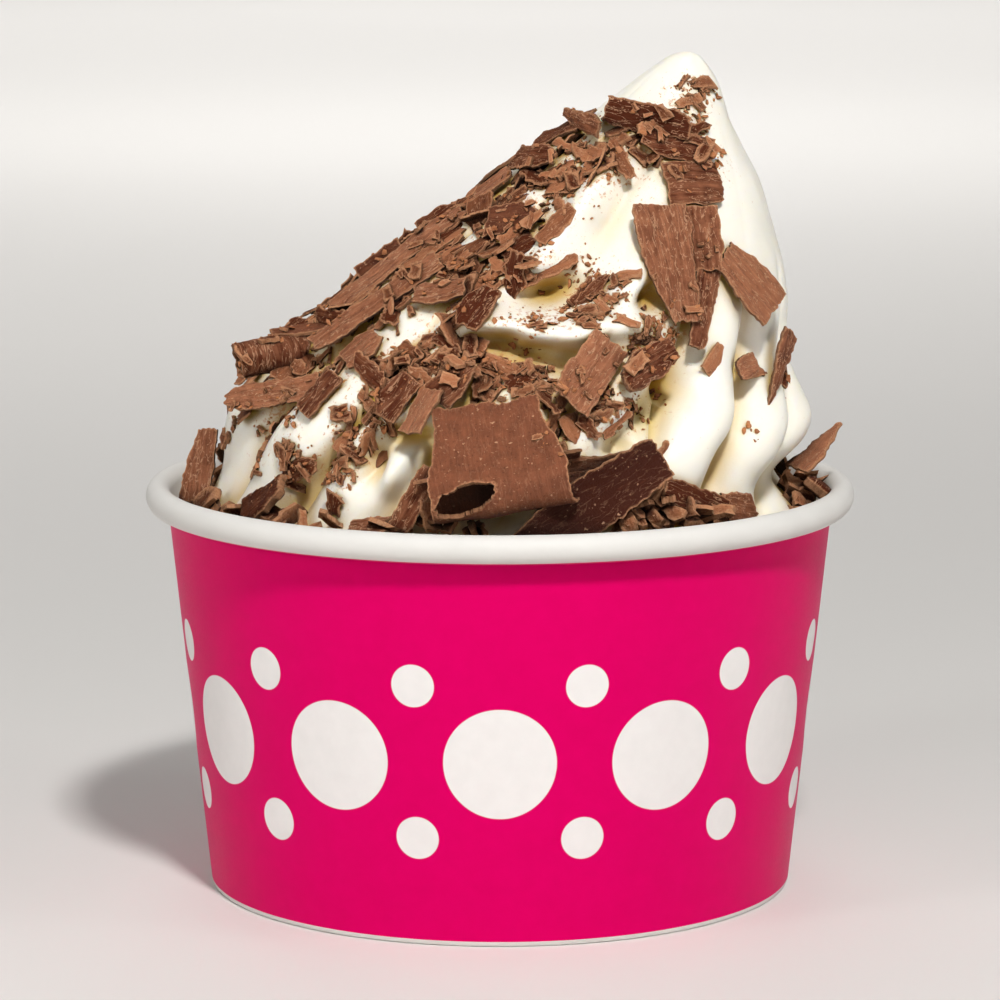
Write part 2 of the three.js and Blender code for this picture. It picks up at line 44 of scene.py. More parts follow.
# Paper tub
RIM_DIAMETER, FOOT_DIAMETER, CUP_HEIGHT = 95, 78.3, 54.7
ROLL_WIDTH, ROLL_HEIGHT = 3.3, 3.8
BOARD, HEM_HEIGHT, CLEARANCE = 0.5, 5, 0.25
FOOT_FOLD, FOOT_BAND = 0.4, 0.7  # radius of the fold at the foot, bare board below the print
WALL_TOP, PRINT_TOP = 50, 51.2  # the straight wall ends under the roll, the print just above that
ROLL_FOOT, WALL_GAP, ROLL_GAP = 51, 1.2, 1  # room that bits leave to the wall, and more where the roll begins
TUB_SIDES, FOLD_STEPS, WALL_RINGS, LINING_RINGS, ROLL_STEPS = 192, 3, 9, 6, 30
TUB_CREASE = 40  # corners sharper than this stay sharp
OUTER_SKIN = 0.2  # points this near the outside of the wall belong to it
# The lapped joint down the back: width, height, share of the width at full height before it eases off, and
# how far the columns of points at its edge are drawn together, as a share of a column
SEAM_LAP, SEAM_STEP, SEAM_FLAT, SEAM_SQUEEZE = 9, 0.28, 0.6, 0.46

# Print: a band of dots, each row as (diameter, height of the row, shift round as a share of the spacing)
DOTS_ROUND = 12
DOT_ROWS = [(14.5, 24.5, 0), (5.6, 34.6, 0.5), (5.6, 14.4, 0.5)]
INK_EDGE = 0.06  # half the width over which the ink thins out round a dot

# Soft-serve swirl
FLUTES, COLUMNS_PER_FLUTE, FLUTE_UNEVEN = 16, 16, 0.35
FLUTE_ARC = 0.985  # share of a half circle that each flute bulges to
SWIRL_FLOOR, FILL_LINE = 7, 47  # its underside in the tub, and where it leaves the wall
TIP_HEIGHT, TIP_ROUND, TIP_FLARE = 111.8, 3.4, 0.12  # the nib's height, rounding and flare
# The mesh's rings: evenly up to the neck, closer up to the nib, closest towards its tip
NECK_HEIGHT, NECK_STEP, NIB_HEIGHT, NIB_DEPTH, NIB_LAST = 106, 0.5, 110.5, 0.9, 0.15
BODY_RINGS, NECK_RINGS, NIB_RINGS = 100, 12, 7
BLANK_RADIUS, BLANK_TAPER, BLANK_TIP = 40, 0.3, 0.3  # the plain cone that the swirl is pressed from
# Unevenness of the cream: height, size and shift of each kind of lump; it fades out below the tip
LUMPS = [(0.35, 9, (0, 0, 0)), (0.1, 3, (7, 1, 3))]
LUMPS_END, LUMPS_FADE = 112, 8
HOLLOW_SHADE_START, HOLLOW_SHADE_FULL = 1.8, 6.8  # depths below the ridges between which painted shade turns the cream yellower
# Cocoa round a spill: how many spreads it reaches, and how many crumbs to a square of spreads make it full
DUST_REACH, DUST_FULL = 1.5, 4
# Sides where the flutes fade out: degrees round, spread, height it starts, mm it grows over, share taken away
SMOOTH_SIDES = [(68, 60, 74, 12, 0.95), (-9, 26, 72, 5, 0.9)]
# Rings of the swirl: height, lean to the right, radius over the ridges, turn of the flutes, depth of grooves
LEAN, RADIUS, TURN, GROOVE = 1, 2, 3, 4
RINGS = np.array([
    (47, 0, 43.2, -6, 0.2), (50.5, 0, 40.6, -4, 2.5), (54, 0.4, 39, -1, 4.2), (57.5, 0.9, 38.6, 1.5, 5),
    (61, 1.6, 39, 4, 5.2), (64.5, 2.2, 38.6, 7, 5.2), (68, 2.8, 37, 10, 5), (71.5, 3.4, 34.8, 12, 4.6),
    (75, 4.8, 32.8, 13, 4.4), (78.5, 6.8, 30.6, 13, 4.2), (82, 9, 28, 12, 4), (85.5, 11.2, 25.4, 11, 3.6),
    (89, 13.4, 22.4, 11, 3.2), (92.5, 15.4, 19.6, 11, 2.7), (96, 17.3, 16.6, 11, 2.2),
    (99.5, 19.1, 13.2, 11, 1.4), (103, 20.8, 9.6, 12, 0.8), (106, 22.4, 7.1, 13, 0.4),
    (108.5, 23.5, 5.1, 14, 0.15), (110.4, 24.2, 3.2, 15, 0.05), (111.5, 24.7, 1.4, 16, 0),
])
RING_BLEND = (-1.2, -0.6, 0, 0.6, 1.2)  # heights about a place that its ring numbers are averaged over
# Folds in the swirl: degrees round, height, how far out, spread in degrees and millimetres
FOLDS = [
    (-13, 79.3, 2.8, 8, 1.6), (3, 78.2, 3.4, 9, 1.7), (18, 79.4, 2.6, 7, 1.7), (-21, 80.6, 2.2, 5, 1.5),
    (-8, 82.5, -6, 10, 2.2), (22, 82, -4, 4, 2), (-13, 77, -4.5, 6, 1.5), (-2, 75.4, -5.5, 8, 1.8),
    (9, 74.3, -4, 6, 1.8), (-23, 65.6, -6, 5, 1.7), (-28.5, 61.5, -5, 3.5, 3.2), (-16, 61.5, -4, 3.5, 4),
    (-23, 60, 2.5, 4.5, 2.8), (20.5, 64, -4.5, 4.5, 2.8), (27, 67.6, -4.5, 4.5, 2.6),
    (34, 70.6, -4, 5.5, 2.4), (47, 60.5, -1.6, 5, 4), (57, 66.5, -0.8, 6, 4), (85, 63.5, 0.9, 22, 4),
    (85, 56, -2.8, 25, 3.2), (88, 82, 1.2, 30, 8), (-78, 81, -2, 32, 11), (0, 91, -3, 8, 7),
    (-16, 92, 2.4, 6, 9), (14, 84, 2.4, 5, 3), (-4, 58.5, -4.5, 11, 4.5),
]

# Large shavings, placed as in the solid model, only the 29th 0.9 higher: degrees round, height, length,
# width, roll of the length from level; dip and lean tilt length and width, lift raises the middle, curl bends
# what lies past the flat share, taper narrows one end and leaf both, bow cups the width, cone tightens a
# scroll, mouth is the tear in it, chipped the share of the width that its corners can lose
SHAVING_THICKNESS, LIFT = 0.8, 0.3
SHAVINGS = [
    dict(at=-5, z=65, length=28, width=21, roll=-78, dip=20, lift=2.4, flat=0.4, curl=-310, taper=-0.3,
         chipped=0.2, mouth=(0.49, -0.52, 0.075, 0.42), cone=0.14),
    dict(at=13.7, z=58.2, length=22.5, width=7.4, roll=30, dip=-4, lift=3, bow=0.8, leaf=0.6),
    dict(at=52, z=83, length=10.2, width=8.2, roll=-60, dip=14, lift=1.3, taper=-0.25),
    dict(at=23.2, z=86, length=16.5, width=8.6, roll=-91, taper=0.35, lift=0.8, curl=-12),
    dict(at=12, z=73, length=10.4, width=5.8, roll=52, lean=12, lift=1.4, chipped=0.25),
    dict(at=27.5, z=95.4, length=8, width=6.4, roll=-4, curl=-20),
    dict(at=-6, z=102.4, length=11.6, width=3.8, roll=-14, lean=50, lift=1.6),
    dict(at=16, z=100, length=9.6, width=4, roll=-18, lean=10),
    dict(at=-50, z=101.6, length=9.4, width=3, roll=-14, lean=50, lift=1.7, taper=-0.5),
    dict(at=-76, z=101, length=9.5, width=5, roll=40),
    dict(at=-60, z=97.6, length=8.6, width=4, roll=8, lean=14, lift=0.8),
    dict(at=-70, z=94.2, length=5.8, width=4.4, roll=80),
    dict(at=-36, z=90.6, length=7.2, width=4.8, roll=10, lean=12, lift=0.65),
    dict(at=-71, z=85, length=21.5, width=3.8, roll=86, lean=16, lift=-0.3),
    dict(at=-53, z=80, length=20, width=3.6, roll=64, lean=16, lift=0.2),
    dict(at=-68, z=76.6, length=13, width=4, roll=-102, dip=34, lift=-0.6),
    dict(at=-84, z=84.2, length=7, width=5, roll=84, lean=62, lift=-1.4),
    dict(at=-90, z=89.6, length=6.4, width=4, roll=84, lean=40, lift=-0.6),
    dict(at=-66, z=70.8, length=12.5, width=10, roll=176, lean=44, lift=0.1, flat=0.05, curl=330),
    dict(at=-60, z=68.2, length=14, width=3.8, roll=24, dip=-20, lean=14, lift=0.6),
    dict(at=-80, z=56.8, length=10, width=4.6, roll=100, lean=55, lift=2.2, taper=0.3),
    dict(at=-86, z=53.6, length=6, width=4.4, roll=66, lean=24, lift=1.25),
    dict(at=-48, z=55.4, length=8.6, width=6, roll=38, lean=-24, lift=2.1, thick=1.8, taper=0.4),
    dict(at=-46, z=69.4, length=6.4, width=3.8, roll=66, lift=0.1),
    dict(at=-43, z=75, length=5.6, width=5, roll=60, lift=-0.1),
    dict(at=-26.5, z=69.8, length=6.4, width=4.6, roll=64, lift=0.6),
    dict(at=-19.5, z=68.2, length=6.6, width=4, roll=72, lean=-20, lift=1.1),
    dict(at=-15, z=71.6, length=6.6, width=5, roll=48, lift=1.3, taper=0.4, dip=8),
    dict(at=-20, z=79.8, length=6.6, width=5.6, roll=68, lift=1.8, taper=0.3),
    dict(at=-36, z=82, length=7.4, width=4, roll=22, lift=0.35),
    dict(at=24.5, z=73.6, length=8.6, width=4.4, roll=24, lift=1.2, thick=1.8),
    dict(at=34, z=88.5, length=9, width=4.4, roll=-100, lean=24, lift=0.9),
    dict(at=37, z=80.5, length=12, width=4.2, roll=-116, lift=0.4, taper=0.4),
    dict(at=66, z=71, length=11, width=3.4, roll=-126, dip=-22, lift=0.9, taper=0.7),
    dict(at=55, z=72.4, length=4.6, width=3, roll=10, lift=-0.1),
    dict(at=84, z=60.2, length=9.4, width=4.4, roll=90, dip=46, lean=58, lift=2.2, taper=0.8),
    dict(at=82, z=53, length=6, width=4.6, roll=-6, lean=-34, lift=2.5, thick=2),
    dict(at=37, z=56.6, length=11.5, width=4.2, roll=-24, lean=-10, lift=1),
    dict(at=49, z=54.4, length=6, width=4.6, roll=-8, lean=-18, lift=1.15),
    dict(at=-16.5, z=57.8, length=9.6, width=3, roll=62, dip=-12, lift=2.6),
    dict(at=-23, z=53.4, length=7, width=4, roll=8, lean=-36, lift=2.3),
    dict(at=14.5, z=62.2, length=6.8, width=3, roll=5, lean=24, lift=0.7),
    dict(at=-104, z=95, length=8, width=5, roll=52, lift=0.1),
    dict(at=-122, z=80, length=12, width=6, roll=62, curl=30, lift=-0.3),
    dict(at=-138, z=67, length=14, width=7, roll=20, curl=-24),
    dict(at=-152, z=92, length=9, width=5, roll=-30, lift=0.2),
    dict(at=-166, z=75, length=10, width=7, roll=74, lift=0.55, lean=12),
    dict(at=172, z=61, length=12, width=5, roll=-14, lift=0.15, dip=10),
    dict(at=150, z=84, length=8, width=6, roll=40, lift=0.1),
    dict(at=-112, z=56, length=10, width=6, roll=34, lift=0.4, lean=-16),
    dict(at=128, z=67, length=9, width=5, roll=-52, lift=0.15),
    dict(at=108, z=55, length=8, width=5, roll=18, lift=0.3, lean=-20),
]
SHAVING_GRID, SHAVING_CREASE = 0.28, 50  # size of the mesh's squares, corners sharper than this stay sharp
SPINE_STEPS, LEAST_STEPS = 400, 4
FIRST_FLAKE, FIRST_CHIP = 100, 300  # counts on from the shavings, so that no two are torn alike
SLOPE_TURN, SLOPE_RISE = 0.5, 1.5  # steps round and up over which the swirl's slope is taken
# The torn opening in a scroll: points this near its edge are drawn to it, its slant, and its ragged edge as
# (height, bumps to a radian, salt)
MOUTH_DRAW, MOUTH_SLANT = 0.065, 0.4
MOUTH_WAVES = [(0.1, 2.2, 6), (0.07, 7, 8)]
# Shavings cut smooth; the rest show the ripples of the blade
SMOOTH_SHAVINGS = (0, 1, 12, 15, 16, 22)
SMOOTH_RIPPLE, BLADE_RIPPLE, FLAKE_RIPPLE = 0.02, 0.11, 0.09
UNDER_RIPPLE, UNDER_GRAIN = 0.5, (0, 0, 31)  # share of the ripple underneath, and shift of its streaks
# Ripples of the blade: share, length, width and salt
STREAKS = [(1, 6, 0.55, 9), (0.6, 1.5, 0.3, 0)]
# Shavings that are darker or paler than the rest, the darker ones partly as painted shade, such as the 38th,
# which lies in shadow; and how far the others and the flakes stray
TONES_AND_SHADE = {
    0: 0.04, 1: -0.45, 2: 0.12, 3: 0.02, 4: 0.12, 6: -0.3, 13: 0.1, 14: 0.05, 16: -0.2, 21: -0.2, 22: -0.3,
    27: -0.1, 28: -0.3, 36: -0.3, 37: -0.3,
}
TONE_SPREAD, FLAKE_TONES = 0.18, 0.42
# Torn edges: length of a wave, its height, and its height as a share of the width
EDGE_WAVES = [(3.4, 0, 0.035), (1.2, 0.16, 0), (0.5, 0.15, 0)]
CHIPPED, CORNER_REACH = 0.8, 0.35  # share of the width that a corner can lose, and how far along it is lost
LEAF_START, LEAF_SPAN = 0.1, 0.68  # stretch of a half wave that the width of a leaf-like shaving follows
LEAST_HALF, EDGE_BAND, EDGE_THINNED = 0.25, 0.45, 0.45  # least half width, edge band, thinning in it
# A sheet's warp: length, width and rise of its swells, which bits are short, and the share of the rise on
# them; then the mean thickness as a share of the nominal one, and how far the warp changes it
WARP_LENGTH, WARP_WIDTH, WARP_RISE, SHORT_BIT, SHORT_WARP = 5, 4, 0.3, 5, 0.4
MEAN_THICKNESS, UNEVEN_THICKNESS = 0.82, 0.12

# Small flakes stuck to the swirl in their places: degrees round, height, length, width, roll
FLAKES = [
    (-5, 73.2, 8, 2.8, -24), (-9.7, 73.4, 4.4, 2.8, 6), (-2, 72.4, 4.4, 2.8, 28),
    (-27, 74.4, 7.2, 2.8, -23), (-20, 77, 7.2, 2.6, -21), (-41.5, 87.2, 5.4, 4, 58),
    (-25.5, 87.8, 4.8, 3.4, 46), (-39.5, 96.7, 5.2, 3.4, 40), (-18.5, 91, 6.8, 2.4, 60),
    (-12, 98.8, 8, 1.8, -64), (-26, 97.6, 7, 1.8, 84), (-11.5, 85.2, 8.4, 2, 35), (3, 82.4, 7.4, 2, 50),
    (-61, 63.5, 4.8, 2.2, 80), (-64, 60.6, 5, 2, 70), (-46, 60, 6.4, 2.8, 22), (-36.5, 63.8, 4.2, 2.6, 50),
    (-29.5, 61.8, 5.6, 1.8, 50), (11, 66.4, 4.4, 3, -66), (19.5, 67, 5, 1.8, 38), (30, 62.4, 4.4, 1.6, 46),
]
FLAKE_PROUD, FLAKE_THICKNESS, FLAKE_GRID, FLAKE_STEPS, FLAKE_RAGGED = 0.2, 0.6, 0.45, 6, 1.3
# Flakes strewn by rule over a range of heights, with the ranges of their lengths and widths
STREWN_TRIES, STREWN_HEIGHTS = 165, (56, 104)
STREWN_LENGTHS, STREWN_WIDTHS, STREWN_LEAN, STREWN_DIP = (3, 5.4), (1.6, 3.2), 18, 14
# Share of the tries that leave a flake: from and to in degrees round, share below a height and above it
STREWN_SIDES = [(-118, -8, 1, 1), (-8, 42, 0.15, 0.4), (42, 110, 0.06, 0.06)]
STREWN_ABOVE, STREWN_BACK = 80, 0.28
BARE_TURN, BARE_HEIGHT = (-24, 12), (74, 98)  # bare stretch in front, degrees round and heights
GOLDEN_TURN, GOLDEN_SHARE = 137.508, 0.618

# Where broken bits gather: degrees round, height, spread round and up in mm, small flakes, crumbs
SPILLS = [
    (-79, 88.5, 6, 4, 34, 60), (-35, 86.3, 6, 3.4, 36, 110), (-54, 82.6, 5, 3, 28, 70),
    (-40, 97, 5, 2.6, 34, 80), (-8, 100, 6, 1.6, 22, 80), (-18, 86.3, 4, 1.4, 10, 80),
    (5, 82.4, 2.2, 2.2, 5, 90), (-3.5, 79.8, 5, 0.8, 0, 40), (-16, 74.6, 6, 1.1, 44, 110),
    (2, 71, 4.5, 1.2, 26, 80), (-31, 74.2, 4, 1.2, 8, 60), (-66, 73.8, 4, 3, 20, 50),
    (24, 73.4, 4.4, 2.2, 20, 90), (19.6, 68, 4, 2, 2, 50), (34, 81.5, 1.6, 5, 8, 60),
    (17, 106.4, 2.4, 1.8, 0, 80), (7.6, 66.7, 2, 2.4, 6, 70), (-32, 81.6, 4, 1.8, 18, 60),
    (-38, 91.7, 4, 2.4, 24, 70), (-19, 97.4, 4, 2.4, 18, 70), (27, 78, 3, 2.4, 4, 60),
    (-60, 93, 5, 4, 36, 60), (-68, 79, 5, 5, 34, 60), (-90, 76, 7, 6, 36, 70), (-20, 73.8, 5, 1.2, 60, 60),
    (-7, 73.2, 5, 1, 60, 60), (-27, 77, 3, 1.2, 16, 40), (30, 97, 3, 2, 10, 50),
    (-60, 65.5, 2.4, 3.4, 3, 90), (-32, 67.4, 2.6, 2, 3, 90), (-34, 62.6, 1.4, 3.2, 2, 70),
    (-46, 60, 2.4, 1.2, 0, 40), (-39, 66, 1, 3.4, 0, 40), (-49, 62, 1, 3, 0, 30), (-64, 71.6, 3, 2, 12, 50),
    (-47, 72, 3, 2, 5, 40), (60, 71, 6, 4, 0, 14), (116, 66, 6, 8, 4, 30), (-100, 66, 7, 6, 22, 80),
    (-112, 86, 6, 6, 30, 60), (-128, 74, 8, 7, 26, 80), (-150, 84, 7, 6, 18, 60), (178, 72, 9, 8, 14, 70),
    (140, 76, 9, 8, 8, 50),
]
# Chips and splinters for each flake of a spill, splinters and grains for each crumb
CHIPS_A_FLAKE, SPLINTERS_A_FLAKE, SPLINTERS_A_CRUMB, GRAINS_A_CRUMB = 0.26, 0.5, 0.3, 1.1
CLUMP, CLUMP_SPREAD = 9, 0.75  # grains lie in clumps of about so many, spread over this distance
LEDGE = 1.8  # a spill this many times as wide as it is tall lies along a ledge
LOWEST_BIT, HIGHEST_BIT = 52, 109
BITS_ON_SHAVINGS = 0.3  # share of the splinters and grains falling on a shaving that stay there
# Bare places: degrees round, height, half their width in degrees and half their height
CLEAR = [
    (-8, 91, 11, 8), (-9, 81.6, 8, 3.2), (-4, 76.4, 11, 1.6), (-22, 62, 10, 5), (-34, 78.6, 6, 2.2),
    (45, 68, 20, 14), (86, 64, 18, 9), (75, 97, 38, 18),
]
# Bits lying in the trough between the swirl and the rim: degrees round, spread, how many, heights
TROUGH_BITS = [
    (-66, 10, 12, 51, 54), (-38, 8, 8, 52, 55), (-12, 10, 12, 53, 56), (27, 6, 22, 54, 58),
    (40, 6, 14, 53, 56.5), (84, 8, 22, 50, 54), (-88, 8, 14, 50, 54), (130, 30, 14, 50, 53),
    (-140, 30, 16, 50, 53),
]
TROUGH_RADII, TROUGH_UP = (39.6, 41.6), 1.2
# Ranges of the bits' sizes; widths of splinters are shares of their lengths
CHIP_LENGTHS, CHIP_WIDTHS, LEDGE_CHIP_WIDTHS, CHIP_THICKNESSES = (3.2, 8), (2, 4.6), (0.9, 2.6), (0.45, 0.75)
CHIP_PROUD, CHIP_TAPER, CHIP_GRID, CHIP_STEPS, CHIP_RAGGED = (0.2, 0.6), 0.4, 0.5, 5, 1.9
CHIP_ASPECT, CHIP_TILT, CHIP_DIP, CHIP_CURL = 0.8, 22, 14, 18
# Roll of a chip from uphill and its spread, along a ledge and elsewhere; uphill follows the swirl's lean
LEDGE_ROLL, SLOPE_ROLL, UPHILL = (75, 25), (0, 40), Vector((0.45, 0, 1))
SPLINTER_SHORTEST, SPLINTER_GROWTH, SPLINTER_WIDTHS, SPLINTER_THICKNESSES = 0.8, 2.6, (0.25, 0.7), (0.3, 0.55)
TROUGH_LENGTHS, TROUGH_WIDTHS, TROUGH_THICKNESSES = (2, 5), (0.4, 0.8), (0.5, 0.9)
LONG_SPLINTER, SPLINTER_TILT, SPLINTER_STRAY, SPLINTER_BEND = 2.2, 20, 0.07, 0.06
SPLINTER_PROUD, SPLINTER_TAPER, SPLINTER_SKEW = (0.2, 0.8), 0.6, 0.5
SPLINTER_EDGE, SPLINTER_TONES = (0.7, 1.2), (0, 0.25)
CRUMB_SMALLEST, CRUMB_GROWTH, CRUMB_FEW, CRUMB_TILT, CRUMB_PROUD = 0.3, 0.9, 2.6, 30, 0.15
CRUMB_LEAST, CRUMB_MOST = (0.8, 0.5, 0.3), (1.6, 1.1, 0.7)  # length, width and height as shares of the size
# CRUMB_EDGE: how near an edge a crumb counts, for the pale edge colour that is partly a painted highlight
CRUMB_LUMPS, CRUMB_EDGE, CRUMB_TONES = (0.5, 1.3), 0.6, (0.2, 0.22)
FALL_SLOPE, FALL_FROM = 0.35, 40  # bits fall in towards the swirl, down this slope, from this far out

# Stage, in metres, watts and degrees
CAMERA_PLACE, CAMERA_TILT, CAMERA_LENS, CAMERA_SENSOR = (0, -0.6126, 0.1531), 80.59, 166.07, 36
FLOOR_SIZE, SKY_STRENGTH = 40, 0.05
LAMP_AIM = (0, 0, 0.055)
# Lamps: name, place, size, power, whether it is mirrored, spread of its light
LAMPS = [
    ("key", (0.1, -0.46, 0.56), (0.07, 0.07), 4.5, True, 180),
    ("front_fill", (-0.35, -1.25, 0.8), (0.9, 0.9), 0.42, False, 70),
    ("left_strip", (-0.6, -0.4, 0.26), (0.16, 0.4), 1.6, False, 180),
    ("right_strip", (0.95, -0.32, 0.34), (0.25, 0.5), 0.5, True, 90),
    ("back", (-0.1, 0.6, 0.5), (0.5, 0.3), 1.6, False, 180),
]
# Rings of lamps that only light the floor: name, distance from the tub, height, size, power, spread
FLOOR_WASHES = [("far_wash", 2, 1.6, 1.6, 14, 84), ("near_wash", 1.05, 0.9, 0.5, 1.1, 70)]
WASH_STEP = 60  # degrees from lamp to lamp

rng = np.random.default_rng(7)


def uneven(count, salt):
    """A repeatable uneven number from -1 to 1 for a counted thing."""
    wave = np.sin(np.asarray(count) * 12.9898 + salt * 78.233) * 43758.5453
    return 2 * (wave - np.floor(wave)) - 1


def between(limits, count, salt):
    """A repeatable uneven number between two limits for a counted thing."""
    return limits[0] + (limits[1] - limits[0]) * (uneven(count, salt) + 1) / 2


def wobble(place, salt):
    """Smooth unevenness along a line, one bump to each whole number."""
    place = np.asarray(place, float)
    low = np.floor(place)
    share = place - low
    share = share * share * (3 - 2 * share)
    return uneven(low, salt) * (1 - share) + uneven(low + 1, salt) * share


def shorter_turn(degrees):
    """A turn taken the shorter way round."""
    return np.mod(degrees + 180, 360) - 180


def turned_about(vector, axis, degrees):
    """A direction turned about an axis."""
    return Quaternion(axis, math.radians(degrees)) @ vector


def linear(hex_colour):
    """An sRGB hex colour as linear red, green, blue and alpha."""
    parts = [int(hex_colour[i:i + 2], 16) / 255 for i in (1, 3, 5)]
    return tuple(c / 12.92 if c <= 0.04045 else ((c + 0.055) / 1.055) ** 2.4 for c in parts) + (1,)


def add(tree, kind, values=None, out=0, **settings):
    """Adds a shader node with its settings, links values that are sockets, and gives one of its outputs."""
    made = tree.nodes.new("ShaderNode" + kind)
    for name, value in settings.items():
        setattr(made, name, value)
    for place, value in (values or {}).items():
        if isinstance(value, bpy.types.NodeSocket):
            tree.links.new(value, made.inputs[place])
        else:
            made.inputs[place].default_value = value
    return made.outputs[out] if len(made.outputs) else None


def blend(tree, share, first, second):
    """A colour between two, by a share from 0 to 1."""
    return add(tree, "Mix", {0: share, 6: first, 7: second}, 2, data_type="RGBA")


def ramp(tree, value, start, end, low=0.0, high=1.0):
    """How far a value is on its way from start to end, as a number from low to high."""
    return add(tree, "MapRange", {0: value, 1: start, 2: end, 3: low, 4: high})


def reckon(tree, operation, *values):
    """Sums done on numbers and sockets."""
    return add(tree, "Math", dict(enumerate(values)), operation=operation)


def patches(tree, where, size, detail, roughness=0.5):
    """Soft uneven patches of about a size."""
    scale = 1 / (size * MM)
    return add(tree, "TexNoise", {"Vector": where, "Scale": scale, "Detail": detail, "Roughness": roughness})


def new_finish(name):
    """A new material with an empty node tree."""
    made = bpy.data.materials.new(name)
    made.use_nodes = True
    made.node_tree.nodes.clear()
    return made, made.node_tree


def fresh():
    """Back to object mode with nothing selected."""
    if bpy.context.mode != "OBJECT":
        bpy.ops.object.mode_set(mode="OBJECT")
    bpy.ops.object.select_all(action="DESELECT")


def pick(piece):
    """Selects a piece for the next operator."""
    piece.select_set(True)
    bpy.context.view_layer.objects.active = piece


def coordinates(piece):
    """The piece's vertices as an array."""
    flat = np.empty(3 * len(piece.data.vertices))
    piece.data.vertices.foreach_get("co", flat)
    return flat.reshape(-1, 3)


def reshape(piece, points):
    """Moves the piece's vertices to new places."""
    piece.data.vertices.foreach_set("co", np.asarray(points, float).ravel())
    piece.data.update()


def note(piece, name, values):
    """Keeps a number or a vector for each vertex, for the material to read."""
    values = np.asarray(values, float)
    kind, key = ("FLOAT", "value") if values.ndim == 1 else ("FLOAT_VECTOR", "vector")
    kept = piece.data.attributes.new(name, kind, "POINT")
    kept.data.foreach_set(key, values.ravel())


# Materials

def dotted_ink(tree, where):
    """The print's colours: a deep ground with rows of pale dots, each dot in its own stretch of the wall."""
    x, y, z = add(tree, "SeparateXYZ", {0: where}).node.outputs
    front = reckon(tree, "MULTIPLY", y, -1.0)
    angle = reckon(tree, "ARCTAN2", x, front)
    dots = 0.0
    for across, row, shift in DOT_ROWS:
        spacing = math.tau * wall_outer(row) / DOTS_ROUND * MM
        side = reckon(tree, "MULTIPLY_ADD", angle, DOTS_ROUND / math.tau, shift)
        side = reckon(tree, "WRAP", side, -0.5, 0.5)
        side = reckon(tree, "MULTIPLY", side, spacing)
        up = reckon(tree, "SUBTRACT", z, row * MM)
        reach = add(tree, "CombineXYZ", {0: side, 1: up})
        reach = add(tree, "VectorMath", {0: reach}, "Value", operation="LENGTH")
        outer, inner = across / 2 + INK_EDGE, across / 2 - INK_EDGE
        inked = ramp(tree, reach, outer * MM, inner * MM)
        dots = reckon(tree, "MAXIMUM", inked, dots)
    mottle = patches(tree, where, 2.2, 3)
    deep = blend(tree, mottle, linear("#cb0057"), linear("#d4005f"))
    pale = blend(tree, mottle, linear("#dcd8d5"), linear("#e5e1de"))
    return blend(tree, dots, deep, pale)


def printed_board():
    """Coated paper board, offset printed: even ink, a faint fibre grain and a low varnish gloss."""
    made, tree = new_finish("printed_paper_board")
    where = add(tree, "TexCoord", out="Object")
    ink = dotted_ink(tree, where)
    fibre = patches(tree, where, 0.35, 4, 0.65)
    gloss = ramp(tree, fibre, 0.3, 0.7, 0.36, 0.46)
    relief = add(tree, "Bump", {"Strength": 0.12, "Distance": 0.06 * MM, "Height": fibre})
    board = add(tree, "BsdfPrincipled", {
        "Base Color": ink, "Roughness": gloss, "Normal": relief, "Specular IOR Level": 0.05,
        "Specular Tint": (0.4, 0.4, 0.4, 1),
    })
    add(tree, "OutputMaterial", {0: board})
    return made


def bare_board():
    """White paper board with a thin matte coating: soft sheen, faint fibres."""
    made, tree = new_finish("white_paper_board")
    where = add(tree, "TexCoord", out="Object")
    fibre = patches(tree, where, 0.4, 4, 0.6)
    cloud = patches(tree, where, 6, 2)
    white = blend(tree, cloud, linear("#cbc8c3"), linear("#d3d0cb"))
    relief = add(tree, "Bump", {"Strength": 0.15, "Distance": 0.06 * MM, "Height": fibre})
    board = add(tree, "BsdfPrincipled", {
        "Base Color": white, "Roughness": 0.55, "Normal": relief, "Specular IOR Level": 0.2,
    })
    add(tree, "OutputMaterial", {0: board})
    return made


def soft_serve():
    """Vanilla soft serve: smooth, slightly moist, lit from within, dusted with cocoa by the bits, with
    painted shade in its hollows.
    """
    made, tree = new_finish("vanilla_soft_serve")
    where = add(tree, "TexCoord", out="Object")
    cloud = patches(tree, where, 9, 2)
    cream = blend(tree, cloud, linear("#e7e2d5"), linear("#edeae0"))
    # Painted shade: deep places turn yellower, as if lit only through the cream around them
    hollow_shade = add(tree, "Attribute", out="Fac", attribute_name="hollow_shade")
    cream = blend(tree, hollow_shade, cream, linear("#d6bc66"))
    # Painted shade: places shut in by the cream and the bits turn khaki
    open_sky = add(tree, "AmbientOcclusion", {"Distance": 6 * MM}, "AO", samples=6)
    crevice_shade = ramp(tree, open_sky, 0.8, 0.15)
    cream = blend(tree, crevice_shade, cream, linear("#bd963a"))
    # Specks of cocoa, more of them where the crumbs lie
    cocoa = add(tree, "Attribute", out="Fac", attribute_name="cocoa")
    speck = patches(tree, where, 0.7, 5, 0.7)
    reach = reckon(tree, "MULTIPLY_ADD", cocoa, 0.18, speck)
    dust = ramp(tree, reach, 0.675, 0.775)
    skin = blend(tree, dust, cream, linear("#c08a56"))
    fine = patches(tree, where, 0.5, 3)
    relief = add(tree, "Bump", {"Strength": 0.1, "Distance": 0.08 * MM, "Height": fine})
    body = add(tree, "BsdfPrincipled", {
        "Base Color": skin, "Roughness": 0.42, "Normal": relief, "IOR": 1.4, "Subsurface Weight": 0.5,
        "Subsurface Radius": (1.0, 0.85, 0.55), "Subsurface Scale": 1.4 * MM,
    })
    add(tree, "OutputMaterial", {0: body})
    return made


